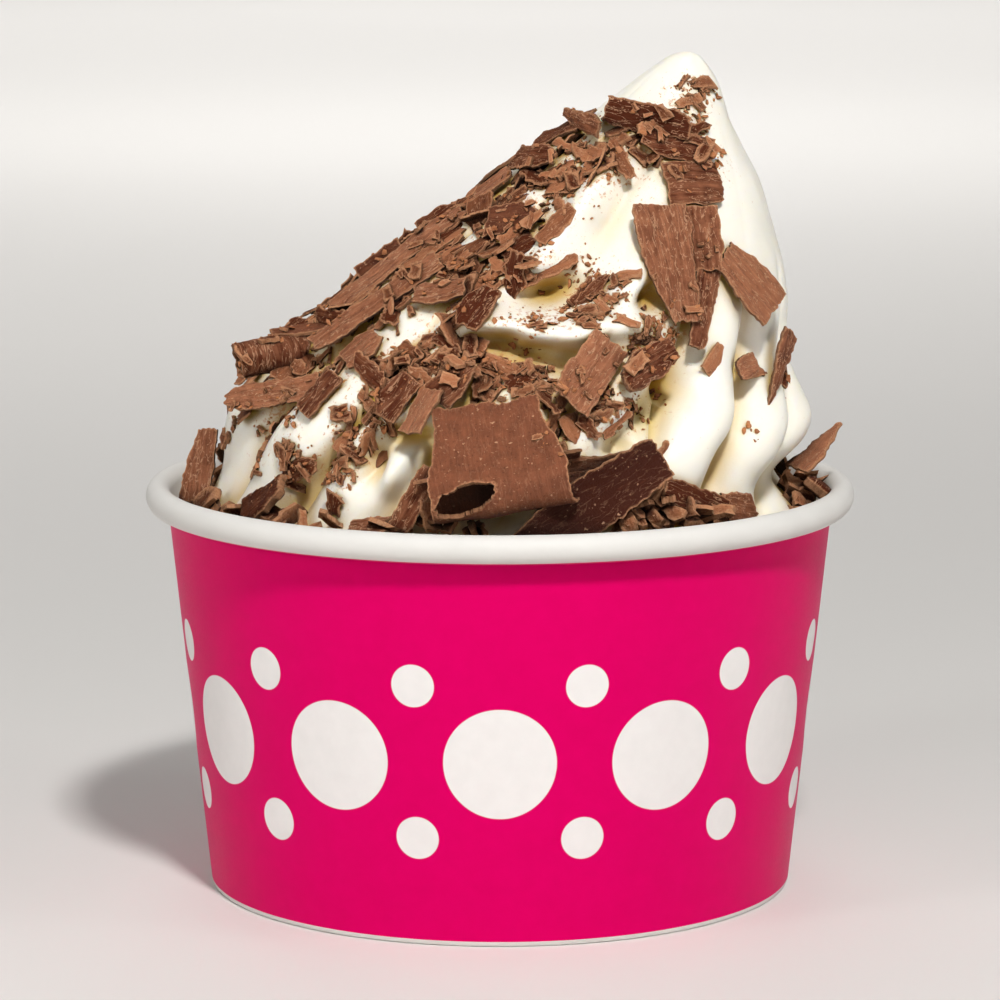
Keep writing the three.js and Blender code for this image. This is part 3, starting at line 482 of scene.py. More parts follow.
def milk_chocolate(name, dark, light, ripple, shade_gap):
    """Shaved milk chocolate: dull, streaked along the blade's path, paler and crumbly at its broken edges
    with a painted highlight there too, and painted shade in the gaps between pieces.
    """
    made, tree = new_finish(name)
    where = add(tree, "TexCoord", out="Object")
    grain = add(tree, "Attribute", out="Vector", attribute_name="grain")
    tone = add(tree, "Attribute", out="Fac", attribute_name="tone")
    edge = add(tree, "Attribute", out="Fac", attribute_name="edge")
    # Streaks 5 mm long and 0.4 mm wide, over patches
    along = add(tree, "VectorMath", {0: grain, 1: (1 / 5, 1 / 0.4, 1)}, operation="MULTIPLY")
    streak = add(tree, "TexNoise", {"Vector": along, "Scale": 1.0, "Detail": 4.0, "Roughness": 0.6})
    patch = patches(tree, where, 1.6, 4)
    mixed = reckon(tree, "MULTIPLY_ADD", streak, 0.5, tone)
    mixed = reckon(tree, "MULTIPLY_ADD", patch, 0.5, mixed)
    share = ramp(tree, mixed, 0.09 + 0.09 * ripple, 0.93 - 0.09 * ripple)
    face = blend(tree, share, linear(dark), linear(light))
    # Dark pits; pale torn edges, partly the broken chocolate's own colour and partly a painted highlight
    # along the rim
    rough = patches(tree, where, 0.35, 4, 0.7)
    pit = ramp(tree, rough, 0.44, 0.3, high=0.6)
    face = blend(tree, pit, face, linear(dark))
    torn_edge_and_sheen = reckon(tree, "MULTIPLY", edge, rough)
    torn_edge_and_sheen = ramp(tree, torn_edge_and_sheen, 0.2, 0.5, high=0.9)
    broken = blend(tree, torn_edge_and_sheen, face, linear("#bd8862"))
    # Pale grit, and fine cracks along the ripples
    grit = patches(tree, where, 0.55, 2)
    grit = ramp(tree, grit, 0.66, 0.72, high=0.8)
    furrow = add(tree, "VectorMath", {0: grain, 1: (1 / 3.2, 1 / 0.8, 1)}, operation="MULTIPLY")
    crack = add(tree, "TexNoise", {"Vector": furrow, "Scale": 1.0, "Detail": 3.0, "Distortion": 0.4})
    crack = reckon(tree, "COMPARE", crack, 0.5, 0.012)
    crack = reckon(tree, "MULTIPLY", crack, 0.3 * ripple)
    fleck = reckon(tree, "MAXIMUM", grit, crack)
    skin = blend(tree, fleck, broken, linear("#c99b78"))
    # Painted shade: gaps between the pieces go nearly black
    open_sky = add(tree, "AmbientOcclusion", {"Distance": shade_gap * MM}, "AO", samples=6)
    crevice_shade = ramp(tree, open_sky, 0.84, 0.28)
    skin = blend(tree, crevice_shade, skin, linear("#1c0600"))
    height = reckon(tree, "MULTIPLY_ADD", streak, ripple, rough)
    height = reckon(tree, "ADD", fleck, height)
    relief = add(tree, "Bump", {"Strength": 0.85, "Distance": 0.4 * MM, "Height": height})
    gloss = ramp(tree, patch, 0.3, 0.7, 0.5, 0.66)
    body = add(tree, "BsdfPrincipled", {
        "Base Color": skin, "Roughness": gloss, "Normal": relief, "Specular IOR Level": 0.18,
    })
    add(tree, "OutputMaterial", {0: body})
    return made


# Paper tub

def wall_outer(z):
    """Outside radius of the tub's straight wall at a height."""
    top, foot = RIM_DIAMETER / 2 - ROLL_WIDTH + BOARD, FOOT_DIAMETER / 2
    return foot + (top - foot) * z / (CUP_HEIGHT - ROLL_HEIGHT / 2)


def wall_inner(z):
    """Inside radius of the tub's wall at a height."""
    return wall_outer(z) - BOARD


def hem_outer(z):
    """Outside radius of the hem at a height, with the base's skirt between it and the wall."""
    return wall_inner(z) - 2 * CLEARANCE - BOARD


def draw_out(name, profile, sides):
    """A turned piece: a circle drawn out ring by ring along a profile of (radius, height)."""
    fresh()
    radius, height = profile[0]
    bpy.ops.mesh.primitive_circle_add(vertices=sides, radius=radius * MM, location=(0, 0, height * MM))
    piece = bpy.context.object
    piece.name = piece.data.name = name
    bpy.ops.object.transform_apply(location=True, rotation=False, scale=False)
    bpy.ops.object.mode_set(mode="EDIT")
    bpy.ops.mesh.select_all(action="SELECT")
    for wider, higher in profile[1:]:
        bpy.ops.mesh.extrude_region_move(TRANSFORM_OT_translate={"value": (0, 0, (higher - height) * MM)})
        bpy.ops.transform.resize(value=(wider / radius, wider / radius, 1), center_override=(0, 0, 0))
        radius, height = wider, higher
    return piece


def tub_profile():
    """The wall's outline: fold at the foot, up the outside, round the roll, down the inside, hem."""
    fold_r = wall_outer(FOOT_FOLD) - FOOT_FOLD
    fold = [
        (fold_r + FOOT_FOLD * math.sin(t), FOOT_FOLD * (1 - math.cos(t)))
        for t in np.linspace(0, math.pi / 2, FOLD_STEPS)
    ]
    outside = [(wall_outer(z), z) for z in np.linspace(FOOT_BAND, WALL_TOP, WALL_RINGS)]
    roll_r, roll_z = (RIM_DIAMETER - ROLL_WIDTH) / 2, CUP_HEIGHT - ROLL_HEIGHT / 2
    start = -math.acos((wall_outer(roll_z) - roll_r) / (ROLL_WIDTH / 2))
    roll = [
        (roll_r + ROLL_WIDTH / 2 * math.cos(t), roll_z + ROLL_HEIGHT / 2 * math.sin(t))
        for t in np.linspace(start, math.pi, ROLL_STEPS)
    ]
    inside = [(wall_inner(z), z) for z in np.linspace(WALL_TOP, BOARD, LINING_RINGS)]
    hem = [(hem_outer(z), z) for z in (BOARD, HEM_HEIGHT)]
    hem += [(hem_outer(z) - BOARD, z) for z in (HEM_HEIGHT, 0)]
    return fold + outside + roll + inside + hem + fold[:1]


def lap_seam(piece):
    """Steps the wall out down the back, where one edge of the board lies over the other."""
    x, y, z = coordinates(piece).T
    angle = np.arctan2(x, y)  # 0 at the back
    radius = np.hypot(x, y)
    outer = radius > (wall_outer(z / MM) - OUTER_SKIN) * MM
    column = math.tau / TUB_SIDES
    near = np.round(angle / column)
    angle = angle + SEAM_SQUEEZE * column * (near == -1) - SEAM_SQUEEZE * column * (near == 0)
    lap = SEAM_LAP * MM / radius
    proud = np.clip(1 + SEAM_FLAT - angle / lap, 0, 1)
    radius = radius + np.where(outer & (angle >= -column / 2), SEAM_STEP * MM * proud, 0)
    reshape(piece, np.stack([radius * np.sin(angle), radius * np.cos(angle), z], 1))


def tub_wall(print_finish, bare_finish):
    """The paper wall with its rolled rim, folded foot and seam, printed on the outside only."""
    piece = draw_out("tub_wall", tub_profile(), TUB_SIDES)
    bpy.ops.mesh.select_all(action="SELECT")
    bpy.ops.mesh.remove_doubles(threshold=1e-6)
    bpy.ops.mesh.normals_make_consistent(inside=False)
    fresh()
    lap_seam(piece)
    piece.data.materials.append(print_finish)
    piece.data.materials.append(bare_finish)
    for face in piece.data.polygons:
        x, y, z = face.center
        outside = math.hypot(x, y) > (wall_outer(z / MM) - OUTER_SKIN) * MM
        outward = face.normal.dot(Vector((x, y, 0))) > 0
        printed = outside and outward and FOOT_BAND * MM < z < PRINT_TOP * MM
        face.material_index = 0 if printed else 1
    pick(piece)
    bpy.ops.object.shade_smooth_by_angle(angle=math.radians(TUB_CREASE))
    return piece


# Soft-serve swirl

def ring_value(column, z):
    """A ring's number at any height, rounded off between the rings."""
    near = [np.interp(np.asarray(z) + d, RINGS[:, 0], RINGS[:, column]) for d in RING_BLEND]
    return sum(near) / len(near)


def swirl_radius(degrees, z):
    """Distance of the swirl's surface from its leaning axis."""
    degrees, z = np.asarray(degrees, float), np.asarray(z, float)
    place = np.mod((degrees - ring_value(TURN, z)) * FLUTES / 360, FLUTES)
    flute = np.floor(place)
    across = FLUTE_ARC * (2 * (place - flute) - 1)
    groove = ring_value(GROOVE, z) * (1 + FLUTE_UNEVEN * uneven(flute, 1))
    for at, spread, start, over, share in SMOOTH_SIDES:
        away = shorter_turn(degrees - at) / spread
        groove = groove * (1 - share * np.clip((z - start) / over, 0, 1) * np.exp(-away ** 4))
    radius = ring_value(RADIUS, z) - groove * (1 - np.sqrt(1 - across * across))
    for at, height, out, spread, tall in FOLDS:
        turn = shorter_turn(degrees - at)
        radius = radius + out * np.exp(-((turn / spread) ** 2) - ((z - height) / tall) ** 2)
    below = np.maximum(TIP_HEIGHT - z, 0)
    return np.minimum(radius, np.sqrt(2 * TIP_ROUND * below) + TIP_FLARE * below ** 2)


def swirl_point(degrees, z):
    """A point on the swirl's surface."""
    radius, turn = swirl_radius(degrees, z), np.radians(degrees)
    return np.stack([ring_value(LEAN, z) + radius * np.sin(turn), -radius * np.cos(turn), z + 0 * radius], -1)


def swirl_blank(columns):
    """A plain cone of rings over the filled tub, closed at its tip and underneath."""
    heights = np.concatenate([
        np.linspace(FILL_LINE, NECK_HEIGHT, BODY_RINGS),
        np.linspace(NECK_HEIGHT + NECK_STEP, NIB_HEIGHT, NECK_RINGS),
        TIP_HEIGHT - NIB_DEPTH * np.linspace(1, NIB_LAST, NIB_RINGS) ** 2,
    ])
    rings = [(wall_inner(SWIRL_FLOOR) - CLEARANCE, SWIRL_FLOOR)]
    rings += [(BLANK_RADIUS - BLANK_TAPER * (z - FILL_LINE), z) for z in heights]
    piece = draw_out("soft_serve_swirl", rings, columns)
    bpy.ops.mesh.extrude_region_move(TRANSFORM_OT_translate={"value": (0, 0, BLANK_TIP * MM)})
    bpy.ops.mesh.merge(type="CENTER")
    bpy.ops.object.mode_set(mode="OBJECT")
    for vertex in piece.data.vertices:
        vertex.select = vertex.co.z < (FILL_LINE - 1) * MM
    bpy.ops.object.mode_set(mode="EDIT")
    bpy.ops.mesh.edge_face_add()
    bpy.ops.mesh.select_all(action="SELECT")
    bpy.ops.mesh.normals_make_consistent(inside=False)
    fresh()
    return piece


def cocoa_dust(degrees, z):
    """How much cocoa lies at each place on the swirl."""
    dust = np.zeros(len(z))
    for at, height, wide, tall, _, crumbs in SPILLS:
        turn = shorter_turn(degrees - at) * np.radians(ring_value(RADIUS, height))
        away = (turn / (DUST_REACH * wide)) ** 2 + ((z - height) / (DUST_REACH * tall)) ** 2
        dust = np.maximum(dust, np.exp(-away / 2) * min(1, crumbs / (wide * tall * DUST_FULL)))
    return dust


def swirl(finish):
    """The soft serve: the blank's rings turned and pressed into flutes and folds, a little lumpy."""
    columns = FLUTES * COLUMNS_PER_FLUTE
    piece = swirl_blank(columns)
    blank = coordinates(piece) / MM
    x, y, z = blank.T
    column = np.round(np.degrees(np.arctan2(x, -y)) * columns / 360)
    degrees = column * 360 / columns + ring_value(TURN, z)
    shaped = swirl_point(degrees, z)
    lump = np.zeros(len(shaped))
    for high, size, shift in LUMPS:
        lump += [high * noise.noise(Vector(p) / size + Vector(shift)) for p in shaped]
    outward = shaped - np.stack([ring_value(LEAN, z), 0 * z, z], 1)
    outward /= np.linalg.norm(outward, axis=1)[:, None] + 1e-9
    shaped += outward * (lump * np.clip((LUMPS_END - z) / LUMPS_FADE, 0, 1))[:, None]
    under, tip = z < FILL_LINE - 1, np.hypot(x, y) < 1
    shaped[under] = blank[under]
    shaped[tip] = (ring_value(LEAN, TIP_HEIGHT), 0, TIP_HEIGHT)
    reshape(piece, shaped * MM)
    note(piece, "cocoa", cocoa_dust(degrees, z))
    # Depth below the ridges, for the painted shade in the hollows
    sunk = ring_value(RADIUS, z) - swirl_radius(degrees, z)
    hollow_shade = np.clip((sunk - HOLLOW_SHADE_START) / (HOLLOW_SHADE_FULL - HOLLOW_SHADE_START), 0, 1)
    note(piece, "hollow_shade", np.where(z > LOWEST_BIT, hollow_shade, 0))
    piece.data.materials.append(finish)
    pick(piece)
    bpy.ops.object.shade_smooth()
    return piece


# Chocolate

def crown_point(degrees, z):
    """A point over the ridges of the swirl."""
    radius, turn = float(np.interp(z, RINGS[:, 0], RINGS[:, RADIUS])), math.radians(degrees)
    lean = float(np.interp(z, RINGS[:, 0], RINGS[:, LEAN]))
    return Vector((lean + radius * math.sin(turn), -radius * math.cos(turn), z))


def slope_frame(degrees, z):
    """Directions round the swirl, up its slope and out of it."""
    across = crown_point(degrees + SLOPE_TURN, z) - crown_point(degrees - SLOPE_TURN, z)
    across = across.normalized()
    up = crown_point(degrees, z + SLOPE_RISE) - crown_point(degrees, z - SLOPE_RISE)
    out = across.cross(up).normalized()
    return across, out.cross(across), out


def shaving_frame(row):
    """The centre of a shaving and the directions of its length, width and face."""
    across, up, out = slope_frame(row["at"], row["z"])
    roll = math.radians(row["roll"])
    length = across * math.cos(roll) + up * math.sin(roll)
    width = turned_about(out.cross(length), length, row.get("lean", 0))
    length = turned_about(length, width, -row.get("dip", 0))
    lift = row.get("lift", LIFT)
    if row.get("sunk"):
        centre = Vector(swirl_point(row["at"], row["z"])) + out * lift
    else:
        centre = crown_point(row["at"], row["z"]) + out * (lift + row.get("thick", SHAVING_THICKNESS) / 2)
    return centre, length, width, length.cross(width)


def spine(row, shares):
    """A shaving's middle line: distance along, distance out and slope, at shares of its length."""
    curl = math.radians(row.get("curl", 0))
    fine = np.linspace(0, 1, SPINE_STEPS + 1)
    if "flat" in row:
        slope, start = curl * np.maximum(0, fine - row["flat"]) / (1 - row["flat"]), row["flat"] / 2
    else:
        slope, start = curl * (fine - 0.5), 0.5
    middle = (slope[1:] + slope[:-1]) / 2
    run = np.concatenate([[0], np.cumsum(np.cos(middle))]) / SPINE_STEPS * row["length"]
    rise = np.concatenate([[0], np.cumsum(np.sin(middle))]) / SPINE_STEPS * row["length"]
    run, rise = run - np.interp(start, fine, run), rise - np.interp(start, fine, rise)
    return np.interp(shares, fine, run), np.interp(shares, fine, rise), np.interp(shares, fine, slope)


def torn_outline(row, count, shares, sides, ragged):
    """Half the width of a shaving with torn sides and lost corners, and how far its torn ends reach."""
    long, wide, taper = row["length"], row["width"], row.get("taper", 0)
    side = np.where(sides > 0, 1, 2)
    side_wave, end_wave = np.zeros_like(shares), np.zeros_like(shares)
    for reach, high, high_share in EDGE_WAVES:
        amount = ragged * (high + high_share * wide)
        for which in (1, 2):
            wave = wobble(shares * long / reach, count * 3.1 + which + reach)
            side_wave = np.where(side == which, side_wave + amount * wave, side_wave)
        for end, weight in ((3, 1 - shares), (4, shares)):
            wave = wobble(sides * wide / 2 / reach, count * 5.3 + end + reach)
            end_wave += amount * weight ** 2 * wave
    narrow = 1 - taper * shares if taper > 0 else 1 + taper * (1 - shares)
    leaf = 1 - np.sin(math.pi * (LEAF_START + LEAF_SPAN * shares))
    half = (wide / 2) * (narrow * (1 - row.get("leaf", 0) * leaf)) + side_wave
    corner = CORNER_REACH * min(long, 2 * wide)
    for end, from_end in ((0, shares), (1, 1 - shares)):
        cut = np.maximum(0, uneven(count * 4 + end * 2 + side, 21)) * row.get("chipped", CHIPPED)
        half = half * (1 - cut * np.clip(1 - from_end * long / corner, 0, 1))
    return half, end_wave


def plate(row, count, shares, sides, ripple, ragged):
    """Top and bottom of a torn shaving at grid shares, its grain, and how near an edge each point is."""
    centre, length, width, face = (np.array(v) for v in row.get("frame") or shaving_frame(row))
    long, thick = row["length"], row.get("thick", SHAVING_THICKNESS)
    half, end_wave = torn_outline(row, count, shares, sides, ragged)
    across = sides * np.maximum(half, LEAST_HALF)
    run, rise, slope = spine(row, shares)
    if "cone" in row:
        first_run, first_rise, _ = spine(row, row["flat"])
        tight = 1 - row["cone"] * (1 - sides) / 2 * (shares > row["flat"])
        run, rise = first_run + (run - first_run) * tight, first_rise + (rise - first_rise) * tight
    forward = np.cos(slope)[:, None] * length + np.sin(slope)[:, None] * face
    outward = np.cos(slope)[:, None] * face - np.sin(slope)[:, None] * length
    places = list(zip(shares * long, across))
    warp = np.array([noise.noise(Vector((s / WARP_LENGTH, a / WARP_WIDTH, count))) for s, a in places])
    streak = np.zeros(len(shares))
    for much, reach, broad, salt in STREAKS:
        streak += [much * noise.noise(Vector((s / reach, a / broad, count + salt))) for s, a in places]
    lie = row.get("bow", 0) * sides ** 2 + WARP_RISE * warp * (1 if long > SHORT_BIT else SHORT_WARP)
    middle = centre + run[:, None] * length + rise[:, None] * face + across[:, None] * width
    middle += end_wave[:, None] * forward + lie[:, None] * outward
    inner = np.minimum(np.abs(half) * (1 - np.abs(sides)), long * np.minimum(shares, 1 - shares))
    near_edge = np.clip(1 - inner / EDGE_BAND, 0, 1)
    depth = thick * (MEAN_THICKNESS + UNEVEN_THICKNESS * warp) * (1 - EDGE_THINNED * near_edge)
    top = middle + outward * (depth / 2 + ripple * streak)[:, None]
    bottom = middle - outward * (depth / 2 - UNDER_RIPPLE * ripple * streak)[:, None]
    grain = np.stack([shares * long, across, np.full_like(shares, count * 3.7)], 1)
    return top, bottom, grain, near_edge


def from_mouth(row, shares, sides):
    """Distance from the middle of a scroll's torn opening, 1 on its edge, with near points drawn to it."""
    along, across, tall, wide = row["mouth"]
    over = (sides - across) / wide
    up = (shares - along) / tall + MOUTH_SLANT * over
    turn = np.arctan2(up, over)
    edge = 1
    for high, bumps, salt in MOUTH_WAVES:
        edge = edge + high * wobble(bumps * turn, salt)
    away = np.hypot(up, over) / edge
    draw = np.where(np.abs(away - 1) < MOUTH_DRAW, away, 1)
    return away, along + tall * (up - MOUTH_SLANT * over) / draw, across + wide * over / draw


def cut_out(piece, gone):
    """Deletes the vertices that are gone."""
    piece.data.polygons.foreach_set("select", np.zeros(len(piece.data.polygons), bool))
    piece.data.edges.foreach_set("select", np.zeros(len(piece.data.edges), bool))
    piece.data.vertices.foreach_set("select", gone)
    bpy.ops.object.mode_set(mode="EDIT")
    bpy.ops.mesh.delete(type="VERT")
    bpy.ops.object.mode_set(mode="OBJECT")


def shaving(name, row, count, finish):
    """A thin sheet cut to size, shaped to its curl and ragged outline, then given its thickness."""
    fresh()
    steps = [max(LEAST_STEPS, round(row[side] / SHAVING_GRID)) for side in ("length", "width")]
    bpy.ops.mesh.primitive_grid_add(x_subdivisions=steps[0], y_subdivisions=steps[1], size=1)
    piece = bpy.context.object
    piece.name = piece.data.name = name
    flat = coordinates(piece)
    shares, sides = flat[:, 0] + 0.5, 2 * flat[:, 1]
    if "mouth" in row:
        away, shares, sides = from_mouth(row, shares, sides)
        gone = away < 1 - MOUTH_DRAW
        cut_out(piece, gone)
        away, shares, sides = away[~gone], shares[~gone], sides[~gone]
    ripple = SMOOTH_RIPPLE if count in SMOOTH_SHAVINGS else BLADE_RIPPLE
    top, bottom, grain, near_edge = plate(row, count, shares, sides, ripple, 1)
    if "mouth" in row:
        past = (away - 1) * row["mouth"][2] * row["length"]
        near_edge = np.maximum(near_edge, np.clip(1 - past / EDGE_BAND, 0, 1))
    reshape(piece, top * MM)
    body = piece.modifiers.new("body", "SOLIDIFY")
    body.thickness, body.offset = row.get("thick", SHAVING_THICKNESS) * MM, -1
    bpy.ops.object.modifier_apply(modifier="body")
    reshape(piece, np.concatenate([top, bottom]) * MM)
    note(piece, "grain", np.concatenate([grain, grain + UNDER_GRAIN]))
    note(piece, "edge", np.concatenate([near_edge, near_edge]))
    tone = TONES_AND_SHADE.get(count, TONE_SPREAD * float(uneven(count, 12)))
    note(piece, "tone", np.full(2 * len(top), tone))
    piece.data.materials.append(finish)
    bpy.ops.object.shade_smooth_by_angle(angle=math.radians(SHAVING_CREASE))
    return piece


def inside_tub(points):
    """Bits by the rim, drawn in from the tub's wall."""
    z, radius = points[:, 2], np.hypot(points[:, 0], points[:, 1])
    most = wall_outer(np.minimum(z, CUP_HEIGHT)) - WALL_GAP - ROLL_GAP * (z > ROLL_FOOT)
    scale = np.where(z < CUP_HEIGHT, np.minimum(1, most / radius), 1)
    return points * np.stack([scale, scale, np.ones_like(scale)], 1)


def joined(name, parts, finish):
    """One mesh from many small ones, each (points, faces, grain, edge, tone)."""
    points, faces, grain, edge, tone = [], [], [], [], []
    for part_points, part_faces, part_grain, part_edge, part_tone in parts:
        faces += [[i + len(points) for i in face] for face in part_faces]
        points += list(inside_tub(part_points))
        grain += list(part_grain)
        edge += list(part_edge)
        tone += [part_tone] * len(part_points)
    mesh = bpy.data.meshes.new(name)
    mesh.from_pydata(np.asarray(points) * MM, [], faces)
    piece = bpy.data.objects.new(name, mesh)
    bpy.context.scene.collection.objects.link(piece)
    note(piece, "grain", grain)
    note(piece, "edge", edge)
    note(piece, "tone", tone)
    mesh.materials.append(finish)
    return piece


def sheet_grid(steps, sides):
    """Shares along and across a sheet at the points of a grid."""
    share, side = np.meshgrid(np.linspace(0, 1, steps + 1), np.linspace(-1, 1, sides + 1), indexing="ij")
    return share.ravel(), side.ravel()


def sheet_faces(steps, sides):
    """Faces of a closed sheet: a grid of points for its top, then the same grid for its underside."""
    under, faces = (steps + 1) * (sides + 1), []
    at = np.arange(under).reshape(steps + 1, sides + 1).tolist()
    for i in range(steps):
        for j in range(sides):
            quad = [at[i][j], at[i + 1][j], at[i + 1][j + 1], at[i][j + 1]]
            faces += [quad, [k + under for k in reversed(quad)]]
    first, last = [row[0] for row in at], [row[-1] for row in at]
    rim = first[:-1] + at[-1][:-1] + last[:0:-1] + at[0][:0:-1]
    return faces + [[b, a, a + under, b + under] for a, b in zip(rim, rim[1:] + rim[:1])]


def flake_part(row, count, spacing, fewest, ragged):
    """A small flake as (points, faces, grain, edge, tone): the same torn sheet on a coarse grid."""
    steps = max(fewest, round(row["length"] / spacing))
    sides = max(LEAST_STEPS, round(row["width"] / spacing))
    top, bottom, grain, near_edge = plate(row, count, *sheet_grid(steps, sides), FLAKE_RIPPLE, ragged)
    points, grain = np.concatenate([top, bottom]), np.concatenate([grain, grain])
    edge, tone = np.concatenate([near_edge, near_edge]), FLAKE_TONES * float(uneven(count, 14))
    return points, sheet_faces(steps, sides), grain, edge, tone


def strewn_share(degrees, z):
    """Share of the tries that leave a flake at a place."""
    if BARE_TURN[0] < degrees < BARE_TURN[1] and BARE_HEIGHT[0] < z < BARE_HEIGHT[1]:
        return 0
    for start, end, below, above in STREWN_SIDES:
        if start <= degrees < end:
            return above if z > STREWN_ABOVE else below
    return STREWN_BACK


def stuck_flakes(finish):
    """The flakes of the solid model: those in their places and those strewn by rule."""
    rows = [dict(at=at, z=z, length=long, width=wide, roll=roll) for at, z, long, wide, roll in FLAKES]
    low, high = STREWN_HEIGHTS
    for n in range(1, STREWN_TRIES + 1):
        at = (n * GOLDEN_TURN) % 360 - 180
        z = low + (high - low) * ((n * GOLDEN_SHARE) % 1)
        if between((0, 1), n, 2) > strewn_share(at, z):
            continue
        length, width = between(STREWN_LENGTHS, n, 3), between(STREWN_WIDTHS, n, 4)
        roll, lean, dip = 180 * uneven(n, 5), STREWN_LEAN * uneven(n, 6), STREWN_DIP * uneven(n, 7)
        rows.append(dict(at=at, z=z, length=length, width=width, roll=roll, lean=lean, dip=dip))
    parts = []
    for count, row in enumerate(rows):
        row.update(sunk=True, lift=FLAKE_PROUD, thick=FLAKE_THICKNESS)
        parts.append(flake_part(row, count + FIRST_FLAKE, FLAKE_GRID, FLAKE_STEPS, FLAKE_RAGGED))
    return joined("stuck_flakes", parts, finish)


def landing(surface, degrees, z):
    """Where a bit that falls on the swirl comes to rest, the way out of the surface there and its face."""
    turn = math.radians(degrees)
    out = Vector((math.sin(turn), -math.cos(turn), FALL_SLOPE)).normalized()
    hit, normal, face, _ = surface.ray_cast((crown_point(degrees, z) + out * FALL_FROM) * MM, -out)
    return (None, None, None) if hit is None else (hit / MM, normal, face)


def bit_frame(normal, spin, tilt):
    """Length, width and face of a bit lying on a surface, spun and tilted."""
    side = normal.orthogonal().normalized()
    length = turned_about(side, normal, spin)
    width = turned_about(normal.cross(length), length, tilt)
    return np.array(length), np.array(width), np.array(length.cross(width))


def chip(place, normal, count, on_ledge):
    """A piece broken off a shaving, lying more or less up the slope, or level along a ledge."""
    uphill = UPHILL - normal * normal.dot(UPHILL)
    roll = rng.normal(*(LEDGE_ROLL if on_ledge else SLOPE_ROLL))
    length = turned_about(uphill.normalized(), normal, roll)
    width = turned_about(normal.cross(length), length, rng.normal(0, CHIP_TILT))
    length = turned_about(length, width, rng.normal(0, CHIP_DIP))
    long = rng.uniform(*CHIP_LENGTHS)
    wide = rng.uniform(*(LEDGE_CHIP_WIDTHS if on_ledge else CHIP_WIDTHS))
    row = dict(
        frame=(place + normal * rng.uniform(*CHIP_PROUD), length, width, length.cross(width)),
        length=long, width=wide if on_ledge else min(CHIP_ASPECT * long, wide),
        thick=rng.uniform(*CHIP_THICKNESSES), curl=rng.normal(0, CHIP_CURL),
        taper=rng.uniform(-CHIP_TAPER, CHIP_TAPER),
    )
    return flake_part(row, count + FIRST_CHIP, CHIP_GRID, CHIP_STEPS, CHIP_RAGGED)


def splinter(place, normal, count, long, wide, thick):
    """A broken sliver, thin and ragged, lying or leaning where it fell."""
    length, width, face = bit_frame(normal, rng.uniform(0, 360), rng.normal(0, SPLINTER_TILT))
    centre = np.array(place) + np.array(normal) * thick * rng.uniform(*SPLINTER_PROUD)
    steps, sides = (4, 2) if long > LONG_SPLINTER else (3, 2)
    share, side = sheet_grid(steps, sides)
    narrow = 1 - rng.uniform(0, SPLINTER_TAPER) * share
    skew = rng.uniform(-SPLINTER_SKEW, SPLINTER_SKEW) * wide * (share - 0.5)
    across = side * wide / 2 * narrow * rng.uniform(*SPLINTER_EDGE, share.size) + skew
    along = (share - 0.5) * long + rng.normal(0, SPLINTER_STRAY, share.size) * long
    bend = rng.normal(0, SPLINTER_BEND) * along ** 2 + rng.normal(0, SPLINTER_BEND, share.size)
    middle = centre + along[:, None] * length + across[:, None] * width + bend[:, None] * face
    points = np.concatenate([middle + face * thick / 2, middle - face * thick / 2])
    grain = np.stack([along, across, np.full(share.size, count * 2.3)], 1)
    edge = np.where((np.abs(side) == 1) | (share == 0) | (share == 1), 1.0, 0.0)
    grain, edge = np.concatenate([grain, grain]), np.concatenate([edge, edge])
    return points, sheet_faces(steps, sides), grain, edge, float(rng.normal(*SPLINTER_TONES))


def crumb_shape():
    """Corners and faces of a grain, before it is made uneven."""
    fresh()
    bpy.ops.mesh.primitive_ico_sphere_add(subdivisions=1, radius=1)
    seed = bpy.context.object
    corners, faces = coordinates(seed), [list(face.vertices) for face in seed.data.polygons]
    bpy.data.objects.remove(seed)
    return corners, faces


def crumb(place, normal, count, size, shape):
    """A grain of chocolate: an uneven lump, often longer than it is wide."""
    corners, faces = shape
    axes = np.array(bit_frame(normal, rng.uniform(0, 360), rng.normal(0, CRUMB_TILT)))
    axes = axes * (size / 2 * rng.uniform(CRUMB_LEAST, CRUMB_MOST))[:, None]
    centre = np.array(place) + np.array(normal) * size * CRUMB_PROUD
    points = centre + (corners * rng.uniform(*CRUMB_LUMPS, (len(corners), 1))) @ axes
    grain, edge = np.full((len(corners), 3), count * 1.7), np.full(len(corners), CRUMB_EDGE)
    return points, faces, grain, edge, float(rng.normal(*CRUMB_TONES))


def is_clear(degrees, z):
    """True where the bare cream shows through."""
    return any(
        ((degrees - at) / wide) ** 2 + ((z - height) / tall) ** 2 < 1 for at, height, wide, tall in CLEAR
    )


